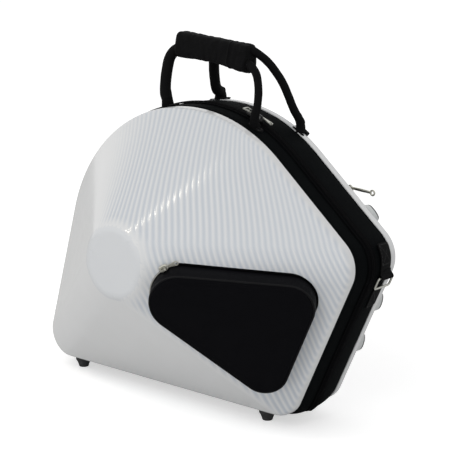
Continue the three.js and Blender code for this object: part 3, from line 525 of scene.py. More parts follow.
def rounds(inset, least=1):
    return [
        corner(BOTTOM, LOWER, inset, max(TOE_RADIUS - inset, least)),
        corner(LOWER, UPPER, inset, max(NOSE_RADIUS - inset, least)),
        (0, ARC_Z, ARC_RADIUS - inset),
        corner(LEFT, BOTTOM, inset, max(HEEL_RADIUS - inset, least)),
    ]


def on_round(circle, angle):
    x, z, radius = circle
    return Vector((x, 0, z)) + facing(angle) * radius


def stations(step):
    """(corner, angle, share of the edge after it) round the case, about step millimetres apart."""
    found, circles = [], rounds(0)
    for k, (start, end) in enumerate(SPANS):
        count = max(3, round(circles[k][2] * (end - start) / step))
        found += [(k, start + (end - start) * i / count, None) for i in range(count + 1)]
        here, there = on_round(circles[k], end), on_round(circles[(k + 1) % 4], end)
        count = max(1, round((there - here).length / step))
        found += [(k, end, i / count) for i in range(1, count)]
    return found


def outline_point(station, circles):
    k, angle, share = station
    here = on_round(circles[k], angle)
    return here if share is None else here.lerp(on_round(circles[(k + 1) % 4], angle), share)


print("corner angles", [round(math.degrees(a), 1) for a in (LOWER, UPPER, LEFT)])

# %% [markdown]
# ## The two moulded shells
# A shell is a short wall, a rounded shoulder and a long slope up to a peak: a round flat disc on the
# front, a smaller copy of the outline on the back. Every station of the rim has its own slope, so the
# form is a bundle of straight rulings, like a tent. A lofted surface through a few profiles would look
# alike, but would swell between them, and the real slopes are straight.

# %% Rulings of a shell
FRONT = dict(
    sign=-1, wall=13, rim_fillet=12, depth=170, fillet=16, disc=(0, 225, 48), thickness=3,
)
BACK = dict(
    sign=1, wall=12, rim_fillet=12, depth=57.5, fillet=22, disc=None, inset=46, corner=24, thickness=3,
)
WALL_SHARE, PEAK_SHARE = 0.5, 0.3


def fillet(corner_at, before, after, radius, count):
    u, v = (corner_at - before).normalized(), (after - corner_at).normalized()
    bend = math.acos(min(1, u.dot(v)))
    room = min(radius * math.tan(bend / 2), (corner_at - before).length, (after - corner_at).length)
    fitted = room / math.tan(bend / 2)
    side = (v - u * math.cos(bend)) / math.sin(bend)
    start = corner_at - u * room
    turns = [bend * i / count for i in range(count + 1)]
    return [start + u * fitted * math.sin(a) + side * fitted * (1 - math.cos(a)) for a in turns]


def spaced(one, other, count):
    return [one.lerp(other, i / count) for i in range(1, count)]


def shell_rows(side, depth_in, start, places, slope_steps, turn_steps=6):
    sign, wall = side["sign"], side["wall"] - depth_in * WALL_SHARE
    rise = side["depth"] - depth_in
    if side["disc"]:
        x, z, radius = side["disc"]
        circles = [(x, z, radius - depth_in * PEAK_SHARE)] * 4
        middle = Vector((x, sign * (HALF_BAND + rise), z))
    else:
        circles = rounds(side["inset"] + depth_in * PEAK_SHARE, side["corner"] - depth_in * PEAK_SHARE)
        middle = Vector((0, sign * (HALF_BAND + rise), ARC_Z))
    rim = rounds(depth_in)

    def lifted(flat, height):
        return Vector((flat.x, sign * (HALF_BAND + height), flat.z))

    rows = []
    for station in places:
        edge, summit = outline_point(station, rim), outline_point(station, circles)
        low, knee, top = lifted(edge, start), lifted(edge, wall), lifted(summit, rise)
        within = lifted(summit - facing(station[1]) * side["fillet"], rise)
        shoulder = fillet(knee, low, top, max(side["rim_fillet"] - depth_in, 1), turn_steps)
        crest = fillet(top, knee, within, side["fillet"], turn_steps)
        rows.append([
            low, *spaced(low, shoulder[0], 3), *shoulder, *spaced(shoulder[-1], crest[0], slope_steps),
            *crest, *spaced(crest[-1], middle, 6), middle,
        ])
    return rows


print("rulings run from the rim to the peak")

# %% [markdown]
# The ribs of the front run up the top and the right of the dome and fade out towards the left side, the
# bottom and the disc. Their lean changes over the dome, so each rib is a line of equal value of one
# smooth polynomial of x and z, whose numbers were fitted to the lean and the spacing of the ribs. They
# are pressed into the mesh along its normals, never outwards, so the shell keeps the size of the CAD
# model. They are shallow: a deeper rib would break up the streak of light that runs down the dome.

# %% Ribs of the front
RIB_DEPTH, RIB_ROUNDNESS = 0.4, 0.8
RIB_TERMS = {
    (0, 1): 3.318, (0, 2): 3.490, (0, 3): -1.235, (0, 4): 0.092,
    (1, 0): 12.645, (1, 1): 2.717, (1, 2): -3.641, (1, 3): 0.989,
    (2, 0): 0.646, (2, 1): -1.424, (2, 2): 1.452,
    (3, 0): -0.118, (3, 1): 0.302, (4, 0): 0.010,
}
RIBS_START, RIBS_END = (-84, -58), (100, 132)
FOOT_OF_SLOPE, TOP_OF_SLOPE = (0.02, 0.06), (0.84, 0.92)


def faded(value, low, high):
    """Climbs smoothly from 0 at low to 1 at high."""
    share = min(1, max(0, (value - low) / (high - low)))
    return share * share * (3 - 2 * share)


def rib(point, station, run):
    """How deep the rib pattern is pressed in at a point, in millimetres."""
    angle = math.degrees(station[1])
    within = faded(angle, *RIBS_START) * (1 - faded(angle, *RIBS_END))
    height = faded(run, *FOOT_OF_SLOPE) * (1 - faded(run, *TOP_OF_SLOPE))
    x, z = point.x / 100, (point.z - FRONT["disc"][1]) / 100
    count = sum(weight * x ** i * z ** j for (i, j), weight in RIB_TERMS.items())
    wave = 0.5 - 0.5 * math.cos(FULL_TURN * count)
    return RIB_DEPTH * within * height * wave ** RIB_ROUNDNESS


print("ribs fade out by", RIBS_END[1], "degrees")

# %% [markdown]
# Each pressed point is noted with its depth, which is its share of the painted shade that the finish
# lays into the grooves. Points of the disc are noted with a smaller share of the same painted shade.
# A shell's inside is a second bundle of rulings, and the two are joined along the rim. Doubling the
# outside with a Solidify modifier would be shorter, but would carry the ribs through to the inside,
# where the real shell is smooth.

# %% Front and back shell
FRONT_STEP, BACK_STEP, FRONT_SLOPE_STEPS, BACK_SLOPE_STEPS = 2.0, 3, 110, 24
# DISC_SHADE is the share of the painted groove shade that is laid over the disc.
DISC_FROM, DISC_SHADE, LEAST_DEPTH = 0.9, 0.3, 0.001
PRESSED = []


def pressed(rows, places, side):
    """The rows with the ribs pressed in along the surface normal."""
    count, length = len(rows), len(rows[0])
    result = []
    for i, row in enumerate(rows):
        before, after = rows[i - 1], rows[(i + 1) % count]
        moved = list(row)
        for k in range(1, length - 1):
            run = k / (length - 1)
            depth = rib(row[k], places[i], run) if side is FRONT else 0
            if depth > LEAST_DEPTH:
                normal = (after[k] - before[k]).cross(row[k + 1] - row[k - 1]).normalized()
                if normal.y > 0:
                    normal.negate()
                moved[k] = row[k] - normal * depth
                PRESSED.append((moved[k], depth / RIB_DEPTH))
            elif side is FRONT and run > DISC_FROM:
                PRESSED.append((moved[k], DISC_SHADE))
        result.append(moved)
    if side is FRONT:
        PRESSED.append((rows[0][-1], DISC_SHADE))
    return result


def shell(name, side, step, slope_steps):
    places = stations(step)
    outside = pressed(shell_rows(side, 0, 0, places, slope_steps), places, side)
    inside = shell_rows(side, side["thickness"], 0, places, 10, 3)
    rows = [outer + inner[::-1] for outer, inner in zip(outside, inside)]
    made = mesh_piece(name, net(rows, along=True))
    loop = [row[0] for row in rows], [row[-1] for row in rows]
    rim = mesh_piece(name + "_rim", net(list(loop), around=True))
    return made, rim


def welded(made, *others):
    """Joins pieces into one mesh and closes the seams between them."""
    form = bmesh.new()
    for source in (made, *others):
        form.from_mesh(source.data)
    cleaned(form)
    poured(form, made.data)
    for other in others:
        bpy.data.objects.remove(other)
    return made


front_dome = welded(*shell("front_dome", FRONT, FRONT_STEP, FRONT_SLOPE_STEPS))
back_dome = welded(*shell("back_dome", BACK, BACK_STEP, BACK_SLOPE_STEPS))
keep(front_dome, "lid", shell_gloss, "white_shell", "front_shell")
keep(back_dome, "base", shell_gloss, "white_shell", "back_shell")

# %% [markdown]
# Welding renumbered the points, so each point of the dome looks up the nearest noted place to find how
# deep it was pressed, and so how much painted shade it gets. A tree of the places makes that quick. A
# second tree, of the dome's faces, is kept for the pocket, which has to find the shell under it.

# %% Depth of the grooves
SAME_SPOT = 1e-4
depths = KDTree(len(PRESSED))
for at, (point, depth) in enumerate(PRESSED):
    depths.insert(placed(point), at)
depths.balance()
# Each point of the dome keeps its share of painted shade as an attribute.
painted_shade_share = front_dome.data.attributes.new(GROOVE, "FLOAT", "POINT")
for vertex, value in zip(front_dome.data.vertices, painted_shade_share.data):
    _, at, away = depths.find(vertex.co)
    value.value = PRESSED[at][1] if away < SAME_SPOT else 0
dome_tree = BVHTree.FromObject(front_dome, bpy.context.evaluated_depsgraph_get())
print(len(PRESSED), "pressed points noted")

# %% [markdown]
# ## The fabric band
# Between the shells runs a band of black cloth over foam. It bulges a little, most at the bottom, and
# is parted in the middle, where the zip is sewn in. The cloth is stitched down along both edges of
# each half, so there it dips, and between the seams it puckers slightly. The rows of points run round
# the case and carry the dips and the puckers as real shape. A bump in the finish would be cheaper, but
# it wouldn't change the outline of the case, where the eye looks for cloth.

# %% Band surface
CLEARANCE = 0.3
CROWN = 8
CROWN_SHARES = [(BOTTOM, 1), (LOWER, 0.6), (UPPER, 0.25), (LEFT, 0.25), (BOTTOM + FULL_TURN, 1)]
PARTING, PARTING_GAP = -8, 0.15
RIM = rounds(0)


def crown(y):
    return CROWN * (1 - (y / HALF_BAND) ** 2) if abs(y) < HALF_BAND else 0


def crown_share(angle):
    for (start, low), (end, high) in zip(CROWN_SHARES, CROWN_SHARES[1:]):
        if angle <= end + 1e-6:
            return low + (high - low) * (angle - start) / (end - start)
    return 1


def on_band(station, y, rise):
    """A point of the band's face, rise millimetres above it."""
    flat = outline_point(station, RIM)
    return Vector((flat.x, y, flat.z)) + facing(station[1]) * (rise + crown_share(station[1]) * crown(y))


def ripple(point, size_mm, seed=0):
    """Smooth noise from -1 to 1 with bumps of about size_mm. The seed moves it elsewhere."""
    return noise.noise(point / size_mm + Vector((seed * 17.3, seed * 5.1, 0)))


print("band bulges", CROWN, "mm at the bottom")

# %% Both halves of the band
BAND_STEP, BAND_STRIPS, BAND_THICKNESS = 4, 22, 3
BAND_SEAM, SEAM_DEPTH, SEAM_WIDTH = 38.5, 0.9, 2.2
BAND_FOLDS, BAND_PUCKERS, PUCKER_REACH = 26, 7, 14
HEM_DEPTH, HEM_WIDTH = 0.5, 1.6


def band_half(name, start, end, seam, seed):
    ys = [start + (end - start) * i / BAND_STRIPS for i in range(BAND_STRIPS + 1)]
    middle, half, rows = (start + end) / 2, abs(end - start) / 2, []
    for station in stations(BAND_STEP):
        outer = []
        for y in ys:
            spot_at = on_band(station, y, 0)
            near = 1 - min(1, min(abs(y - start), abs(y - end)) / PUCKER_REACH)
            folds = 0.35 * (1 + ripple(spot_at, BAND_FOLDS, seed))
            puckers = near * 0.3 * (1 + ripple(spot_at, BAND_PUCKERS, seed + 1))
            hem = HEM_DEPTH * faded(abs(y - middle), half - HEM_WIDTH, half)
            dip = SEAM_DEPTH * math.exp(-((y - seam) / SEAM_WIDTH) ** 2)
            outer.append(on_band(station, y, -dip - folds - puckers - hem))
        rows.append(outer + [on_band(station, y, -BAND_THICKNESS) for y in (end, middle, start)])
    return mesh_piece(name, net(rows, around=True, along=True))


band_front = band_half("band_front", -HALF_BAND + CLEARANCE, PARTING - PARTING_GAP, -BAND_SEAM, 1)
band_back = band_half("band_back", PARTING + PARTING_GAP, HALF_BAND - CLEARANCE, BAND_SEAM, 4)
keep(band_front, "lid", band_cloth, "black_fabric", "front_band")
keep(band_back, "base", band_cloth, "black_fabric", "back_band")

# %% [markdown]
# ## The long zip
# The zip goes round the sides and the top. Each half is a flat tape with a row of teeth at its inner
# edge, made of one coiled thread, so it is drawn as a thin tube that swells and narrows every two and
# a half millimetres. A true coil would need a hundred times as many faces and look the same.

# %% Tapes and teeth of the long zip
TAPE_WIDTH, TAPE_RISE, TEETH_Y, TEETH_RISE, TEETH_RADIUS = 9, 1.0, 1.35, 1.45, 1.1
COIL_STEP, COIL_NARROW = 0.85, 0.72
ZIP_END = math.radians(35)


def on_zip(step):
    low, high = BOTTOM + ZIP_END, BOTTOM + FULL_TURN - ZIP_END
    return [s for s in stations(step) if low < s[1] < high]


def zip_half(name, side):
    inner, outer = PARTING + side * PARTING_GAP, PARTING + side * (PARTING_GAP + TAPE_WIDTH)
    section = [
        (inner, 0), (inner, 0.8), (inner + side * 3, 1), (inner + side * 5.4, 0.82), (outer - side, 1),
        (outer, 0.6), (outer, 0),
    ]
    rows = [
        [on_band(station, y, CLEARANCE + TAPE_RISE * share) for y, share in section]
        for station in on_zip(BAND_STEP)
    ]
    tape = mesh_piece(name + "_tape", net(rows, around=True, caps=True))
    middle = PARTING + side * TEETH_Y
    coil = []
    for i, station in enumerate(on_zip(COIL_STEP)):
        radius = TEETH_RADIUS * (COIL_NARROW if i % 3 == 0 else 1)
        spokes = [(radius * math.cos(k * math.pi / 3), radius * math.sin(k * math.pi / 3)) for k in range(6)]
        coil.append([on_band(station, middle + across, TEETH_RISE + up) for across, up in spokes])
    return tape, mesh_piece(name + "_teeth", net(coil, around=True, caps=True))


for name, side, body, node in (("zip_lid", -1, "lid", "zip_front"), ("zip_base", 1, "base", "zip_back")):
    tape, teeth = zip_half(name, side)
    keep(tape, body, zip_cloth, "zip_tape", node)
    keep(teeth, body, black_teeth, "zip_tape")

# %% [markdown]
# ## Straps sewn onto the band
# Tabs, patches and the hinge tape are flat webbing that lies on a curved face. One helper covers a
# rounded oblong of any surface with a strap: it is told the surface as a function of along, across and
# rise, and it rounds the ends and softens the edges. A second one sews rows of stitches, each a small
# rounded grain of thread, because at this size the stitching of a strap is a shape and not a colour.


# %% Sewn straps and stitches
STRAP_SHARES = (-1, -0.985, -0.93, -0.8, -0.4, 0, 0.4, 0.8, 0.93, 0.985, 1)
EDGE_DROPS = {1: -1, 0.985: -0.3, 0.8: -0.12}


def sewn(surface, along, across, low, high, end_round=4, edge=0.6, rows_apart=1.5):
    """Net of a strap over a surface, from along[0] to along[1] and across[0] to across[1]."""
    (a0, a1), (c0, c1) = along, across
    reach, middle, half = a1 - a0, (c0 + c1) / 2, (c1 - c0) / 2
    count = max(6, round(reach / rows_apart))
    rows = []
    for i in range(count + 1):
        gone = reach * i / count
        near = min(gone, reach - gone)
        width = half
        if near < end_round:
            width = half - end_round + math.sqrt(end_round ** 2 - (end_round - near) ** 2)
        thick = high - edge * (1 - min(1, near / edge) ** 0.5)
        a, row = a0 + gone, []
        for share in STRAP_SHARES:
            drop = edge * EDGE_DROPS.get(abs(share), 0)
            row.append(surface(a, middle + width * share, thick + drop))
        row += [surface(a, middle + width * share, low) for share in (1, 0, -1)]
        rows.append(row)
    return net(rows, around=True, caps=True)


STITCH_ENDS = ((0, 0.35), (0.15, 0.85), (0.5, 1), (0.85, 0.85), (1, 0.35))


def stitch(surface, way, rise, long=2.6, apart=3.8, radius=0.42):
    """Nets of stitches along a polyline of (along, across) places on a surface."""
    nets = []
    for (a0, c0), (a1, c1) in zip(way, way[1:]):
        length = math.hypot(a1 - a0, c1 - c0)
        count = max(1, int(length / apart))
        for i in range(count):
            start, end = (i + 0.5) / count - long / 2 / length, (i + 0.5) / count + long / 2 / length
            ends = [surface(a0 + (a1 - a0) * t, c0 + (c1 - c0) * t, rise) for t in (start, end)]
            up = (surface(a0, c0, rise + 1) - surface(a0, c0, rise)).normalized()
            run = ends[1] - ends[0]
            side = run.normalized().cross(up)
            rows = []
            for share, swell in STITCH_ENDS:
                turns = [k * FULL_TURN / 6 for k in range(6)]
                spokes = [side * math.cos(a) + up * math.sin(a) * 0.7 for a in turns]
                rows.append([ends[0] + run * share + spoke * radius * swell for spoke in spokes])
            nets.append(net(rows, around=True, caps=True))
    return nets


def frame_way(along, across, inset):
    """The seam round an oblong, as a closed polyline."""
    a0, a1, c0, c1 = along[0] + inset, along[1] - inset, across[0] + inset, across[1] - inset
    return [(a0, c0), (a1, c0), (a1, c1), (a0, c1), (a0, c0)]


def crossed_way(along, across, inset):
    """An oblong with its two diagonals, as a strap end is sewn down."""
    a, b, c, d, _ = frame_way(along, across, inset)
    return [a, b, c, d, a, c], [b, d]


print("sewing helpers ready")

# %% [markdown]
# Each end of a handle is sewn to a tab on the top of the case: two on the front half of the band, two
# where the back shell's shoulder starts, so these also follow the shoulder down. The tabs are as short
# as the photograph shows them, and the one at the front right is narrow, because the zip runs past it.


# %% Tabs under the handles
def on_top(x_middle):
    """The top of the band near x_middle: along runs to the right, across is y."""
    start = math.acos(x_middle / ARC_RADIUS)

    def surface(along, across, rise):
        return on_band((2, start - along / ARC_RADIUS, None), across, rise)

    return surface


WEB_THICKNESS, SEAM_INSET, STITCH_LIFT = 1.6, 2.6, 0.05
TAB_BEHIND = 2.5
HANDLE_FRONT_Y, HANDLE_BACK_Y = -28, 50
FRONT_LEFT_X, FRONT_RIGHT_X, BACK_LEFT_X, BACK_RIGHT_X = -65, 97, -29, 120
handle_tabs = (
    ("front_handle_tab_left", FRONT_LEFT_X, HANDLE_FRONT_Y, 42, 18, 19, "lid"),
    ("front_handle_tab_right", FRONT_RIGHT_X, HANDLE_FRONT_Y, 12, 13, 13, "lid"),
    ("back_handle_tab_left", BACK_LEFT_X, HANDLE_BACK_Y, 18, 12, 19, "base"),
    ("back_handle_tab_right", BACK_RIGHT_X, HANDLE_BACK_Y, 14, 10, 19, "base"),
)


def shoulder_drop(y):
    """How far the back shell's shoulder falls away behind the band."""
    beyond, radius = y - HALF_BAND - 0.5, BACK["rim_fillet"]
    return radius - math.sqrt(radius ** 2 - beyond ** 2) if 0 < beyond < radius else 0


def sewn_down(surface, ways, rise):
    """The stitches of several seams, as nets."""
    return [grain for way in ways for grain in stitch(surface, way, rise + STITCH_LIFT)]


for node, x, y, before, after, wide, body in handle_tabs:
    top = on_top(x)

    def surface(along, across, rise, top=top):
        return top(along, across, rise - shoulder_drop(across))

    span = (-before, after)
    width = (y + TAB_BEHIND - wide / 2, y + TAB_BEHIND + wide / 2)
    tab = mesh_piece(node + "_web", sewn(surface, span, width, CLEARANCE, WEB_THICKNESS, 5, 0.8))
    keep(tab, body, webbing, "black_webbing", node)
    seams = sewn_down(surface, crossed_way(span, width, SEAM_INSET), WEB_THICKNESS)
    keep(mesh_piece(node + "_thread", *seams), body, thread, "black_webbing")

# %% [markdown]
# The lid turns on a strip of webbing under the flat bottom, sewn to both halves of the band. It is made
# as two leaves that meet at the hinge line, one on each body. One piece blended over the joint would
# have to stretch when the lid lies open, and on the real case the fold is just as sharp.

# %% Hinge tape under the case
HINGE_DROP = crown(PARTING) + 1.5
HINGE_LEFT, HINGE_RIGHT = RIM[3][0] + 8, RIM[0][0] - 8
HINGE_STEPS, LEAF_STRIPS, LEAF_EDGE, LEAF_TOP = 90, 8, 0.4, 0.35


def under(along, across, rise):
    """Below the case: rise is counted down from the flat bottom."""
    wave = 0.12 * ripple(Vector((along, across, 0)), 14, 3)
    return Vector((along, across, -rise - wave))


def hinge_leaf(name, start, end, node, body):
    rows = []
    for i in range(HINGE_STEPS + 1):
        x = HINGE_LEFT + (HINGE_RIGHT - HINGE_LEFT) * i / HINGE_STEPS
        ys = [start + (end - start) * k / LEAF_STRIPS for k in range(LEAF_STRIPS + 1)]
        low = [under(x, y, HINGE_DROP - (LEAF_EDGE if y in (start, end) else 0)) for y in ys]
        rows.append(low + [Vector((x, y, -crown(y) - LEAF_TOP)) for y in reversed(ys)])
    keep(mesh_piece(name, net(rows, around=True, caps=True)), body, webbing, "black_webbing", node)
    line = end - 2 if end > PARTING else start + 2
    seam = stitch(under, [(HINGE_LEFT + 3, line), (HINGE_RIGHT - 3, line)], HINGE_DROP, apart=4.5)
    keep(mesh_piece(name + "_thread", *seam), body, thread, "black_webbing")


lid_side, base_side = PARTING - PARTING_GAP, PARTING + PARTING_GAP
hinge_leaf("hinge_leaf_front", lid_side - 7.4, lid_side, "hinge_tape_front", "lid")
hinge_leaf("hinge_leaf_back", base_side, base_side + 20, "hinge_tape_back", "base")

# %% [markdown]
# ## Fittings for a shoulder strap
# On each slanted side a piece of webbing is folded over the bar of a metal ring and sewn down, with a
# second patch below the ring. The ring is bent round wire, so its corners are round: it is swept along
# a rounded oblong. The fold of webbing hooks over the wire with a small gap, so that the ring swings.
# Blender's curves have a bevel for such wire, but the same helper also has to draw rolled straps, whose
# thickness changes along and round them.


# %% Swept wire
def sweep(points, radius, sides=12, closed=False, ends=0):
    """Net of a tube along points. radius is a number or a function of (index, turn)."""
    count = len(points)
    ways = []
    for i in range(count):
        before = points[(i - 1) % count] if closed else points[max(i - 1, 0)]
        after = points[(i + 1) % count] if closed else points[min(i + 1, count - 1)]
        ways.append((after - before).normalized())
    side = ways[0].orthogonal().normalized()
    rows = []

    def circle(i, centre, shrink):
        cross = ways[i].cross(side)
        row = []
        for k in range(sides):
            turn_k = k * FULL_TURN / sides
            size = radius(i, turn_k) if callable(radius) else radius
            row.append(centre + (side * math.cos(turn_k) + cross * math.sin(turn_k)) * size * shrink)
        return row

    for i in range(count):
        if i:
            side = (ways[i - 1].rotation_difference(ways[i]) @ side).normalized()
            side = (side - ways[i] * side.dot(ways[i])).normalized()
        rows.append(circle(i, points[i], 1))
        if ends and not closed and i in (0, count - 1):
            tip = -1 if i == 0 else 1
            bends = (0.4, 0.8, 1.15, 1.4)
            cap = [circle(i, points[i] + ways[i] * tip * ends * math.sin(a), math.cos(a)) for a in bends]
            rows = cap[::-1] + rows if i == 0 else rows + cap
    return net(rows, around=True, along=closed, caps=not closed)


def rounded_way(corners, radius, count=6):
    """Points round a closed polyline whose corners are rounded."""
    way = []
    for i, spot_at in enumerate(corners):
        before, after = corners[i - 1], corners[(i + 1) % len(corners)]
        way += fillet(spot_at, before, after, radius, count)
    return way


print("wire helpers ready")


# %% The side that a fitting lies on
def side_face(angle, upward_sign, along_edge):
    """A slanted side of the band, on past its straight edge: along is counted upwards from the ring."""
    out = facing(angle)
    up = Vector((-out.z, 0, out.x)) * upward_sign
    bend = RIM[1] if angle == LOWER else RIM[2]
    straight_end = (on_round(bend, angle) - Vector((0, 0, ARC_Z))).dot(up)

    def surface(along, across, rise):
        gone = along_edge + along
        lift = rise + crown_share(angle) * crown(across)
        if gone <= straight_end:
            return out * (EDGES[angle] + lift) + up * gone + Vector((0, across, ARC_Z))
        turned_to = angle + (gone - straight_end) / bend[2] * upward_sign
        return Vector((bend[0], across, bend[1])) + facing(turned_to) * (bend[2] + lift)

    return surface, out, up


print("straight edges at", [round(reach, 1) for reach in EDGES.values()], "mm from the middle of the arc")

# %% Rings, folds and patches
RING_Y, RING_WIDTH, RING_HEIGHT, RING_CORNER, WIRE = 25, 35, 17, 3.2, 1.6
FOLD, FOLD_RADIUS, STRAP_RISE = 4.4, 2.4, 1.6
STRAP_EDGES = (RING_Y - 14, RING_Y + 14)
TAB_SPAN, TAB_SEWN, PATCH_SPAN = (7, 44), (14, 44), (-RING_HEIGHT - 36, -RING_HEIGHT - 4)
FOLD_LINES = [(8.5, -FOLD + 0.1, 0, 1), (6, -FOLD + 0.4, 0, 1), (4.4, -2.9, 0.25, 1)]
for a in (i * math.pi / 12 for i in range(1, 19)):
    FOLD_LINES.append((FOLD_RADIUS * math.cos(a), FOLD_RADIUS * math.sin(a), math.cos(a), math.sin(a)))


def folded(around_bar, surface, out):
    """Net of the webbing that hooks over the bar of the ring."""
    low, high = STRAP_EDGES
    thick, rows = STRAP_RISE - CLEARANCE, []
    for along, height, out_along, out_up in FOLD_LINES:
        row = []
        for across in (low, low + 1, RING_Y, high - 1, high):
            slope = (surface(0, across, 0) - surface(0, RING_Y, 0)).dot(out) * min(1, max(0, along / 8))
            row.append((across, height + slope))
        inner = [around_bar(along, across, rise) for across, rise in row]
        outer = [
            around_bar(along + out_along * thick, across, rise + out_up * thick) for across, rise in row
        ]
        rows.append(inner + outer[::-1])
    return net(rows, around=True, caps=True)


def fitting(label, angle, upward_sign, along_edge):
    surface, out, up = side_face(angle, upward_sign, along_edge)
    bar = surface(0, RING_Y, CLEARANCE + FOLD)

    def around_bar(along, across, height):
        return bar + up * along + out * height + Vector((0, across - RING_Y, 0))

    flat = sewn(surface, TAB_SPAN, STRAP_EDGES, CLEARANCE, STRAP_RISE, 1.5)
    web = mesh_piece(label + "_strap_web", flat, folded(around_bar, surface, out))
    keep(web, "base", webbing, "black_webbing", label + "_strap_tab")
    flat = sewn(surface, PATCH_SPAN, STRAP_EDGES, CLEARANCE, STRAP_RISE, 2)
    patch = mesh_piece(label + "_strap_patch_web", flat)
    keep(patch, "base", webbing, "black_webbing", label + "_strap_patch")
    seams = [*crossed_way(TAB_SEWN, STRAP_EDGES, 2.4), *crossed_way(PATCH_SPAN, STRAP_EDGES, 2.4)]
    sewing = mesh_piece(label + "_strap_thread", *sewn_down(surface, seams, STRAP_RISE))
    keep(sewing, "base", thread, "black_webbing")
    places = ((0, -1), (-RING_HEIGHT, -1), (-RING_HEIGHT, 1), (0, 1))
    corners = [around_bar(along, RING_Y + side * RING_WIDTH / 2, 0) for along, side in places]
    ring_way = rounded_way(corners, RING_CORNER)
    wire = mesh_piece(label + "_ring_wire", sweep(ring_way, WIRE, 14, closed=True))
    keep(wire, label + "_ring", nickel, "silver_metal", label + "_strap_ring")


fitting("right", LOWER, 1, 141)
fitting("left", LEFT, -1, -33)

# %% [markdown]
# ## Carrying handles
# Each handle is webbing rolled round a cord, one loop on the lid and one on the base. The CAD draws
# them along a centripetal Catmull-Rom curve, which passes through its points without loops or
# overshoot, so the same curve is worked out here and swept with a thinner or thicker round, as the
# photograph shows. A ridge along the inside is the seam of the rolled webbing.

# %% Curve through points
def through(points, count):
    """count + 1 points along a centripetal Catmull-Rom curve."""
    found = []
    for step in range(count + 1):
        place = (len(points) - 1) * step / count
        i = min(int(place), len(points) - 2)
        weight = place - i
        p1, p2 = points[i], points[i + 1]
        p0 = points[i - 1] if i > 0 else p1 * 2 - p2
        p3 = points[i + 2] if i + 2 < len(points) else p2 * 2 - p1
        d0, d1, d2 = (max((b - a).length ** 0.5, 1e-4) for a, b in ((p0, p1), (p1, p2), (p2, p3)))
        m1 = ((p1 - p0) / d0 - (p2 - p0) / (d0 + d1) + (p2 - p1) / d1) * d1
        m2 = ((p2 - p1) / d1 - (p3 - p1) / (d1 + d2) + (p3 - p2) / d2) * d1
        c2, c3 = (p2 - p1) * 3 - m1 * 2 - m2, (p1 - p2) * 2 + m1 + m2
        found.append(p1 + m1 * weight + c2 * weight ** 2 + c3 * weight ** 3)
    return found


print("curves pass through their points")

# %% [markdown]
# Inside the grip the two straps lie side by side, one a little lower than the other. From the grip each
# leg runs down to its tab. Its shape is a short list of shares of the way from the tab to the grip, in
# x, y and z, and a share of the bow that the strap makes outwards, because these can be read off the
# photograph one leg at a time.

# %% Where the handles run
STRAP_RADIUS, TAB_THICKNESS, BOW = 7, 4.4, 10
STRAND_Y, STRAND_Z = 4, 8
GRIP = Vector(((FRONT_LEFT_X + FRONT_RIGHT_X) / 2 - 14, 0, 498.5))
GRIP_TURN = Matrix.Rotation(0.065, 3, "Y")
GRIP_HALF = 66
WAY_STEPS = 220
FRONT_LEFT_LEG = [
    (0, 0.1, 0.3, 0.5), (0, 0.4, 0.62, 0.9), (0.2, 0.72, 0.86, 0.9), (0.5, 0.92, 0.97, 0.3),
    (1, 1, 1, -0.7),
]
FRONT_RIGHT_LEG = [(0, 0.12, 0.32, 0.2), (0, 0.38, 0.64, 0), (0.3, 0.68, 0.88, 0), (1, 1, 1, 0)]
BACK_LEFT_LEG = [
    (0.1, 0.3, 0.24, 0), (0.16, 0.5, 0.5, 0), (0.34, 0.71, 0.78, 0), (0.55, 0.9, 0.95, 0), (1, 1, 1, 0),
]
BACK_RIGHT_LEG = [(0.1, 0.22, 0.32, 0), (0.34, 0.48, 0.64, 0), (0.66, 0.74, 0.87, 0), (1, 1, 1, 0)]


def top_at(x, y):
    return ARC_Z + math.sqrt(ARC_RADIUS ** 2 - x ** 2) + crown(y) * crown_share(math.pi / 2)


def strap_foot(x, y):
    rise = crown(y) * crown_share(math.pi / 2)
    reach = ARC_RADIUS + rise + TAB_THICKNESS + CLEARANCE + STRAP_RADIUS
    return Vector((x, y, ARC_Z + math.sqrt(reach ** 2 - x ** 2)))


def handle_way(side, y, left, right):
    def strand(x):
        return GRIP_TURN @ Vector((x - GRIP.x, side * STRAND_Y, side * STRAND_Z)) + GRIP

    def leg(x, entry, bow, shares):
        start = Vector((x, y, top_at(x, y) - STRAP_RADIUS))
        way = entry - start
        return [start + Vector((way.x * a + bow * d, way.y * b, way.z * c)) for a, b, c, d in shares]

    entries = strand(left[1]), strand(right[1])
    return [
        strap_foot(left[0], y), *leg(left[0], entries[0], -BOW, left[2]),
        *[entries[0].lerp(entries[1], share) for share in (0.14, 0.5, 0.86)],
        *reversed(leg(right[0], entries[1], BOW, right[2])), strap_foot(right[0], y),
    ]


front_way = through(handle_way(
    -1, HANDLE_FRONT_Y, (FRONT_LEFT_X, GRIP.x - GRIP_HALF, FRONT_LEFT_LEG),
    (FRONT_RIGHT_X, GRIP.x + GRIP_HALF - 10, FRONT_RIGHT_LEG),
), WAY_STEPS)
back_way = through(handle_way(
    1, HANDLE_BACK_Y, (BACK_LEFT_X, 12, BACK_LEFT_LEG),
    (BACK_RIGHT_X, GRIP.x + GRIP_HALF, BACK_RIGHT_LEG),
), WAY_STEPS)
for way in (front_way, back_way):
    print("handle of", round(sum((b - a).length for a, b in zip(way, way[1:]))), "mm")

# %% [markdown]
# A rolled strap is never quite round. Its radius is a function of the place along it and round it: it is
# thicker at the left than at the right, slightly oval, uneven by soft noise, and has the ridge of its
# seam on one side.


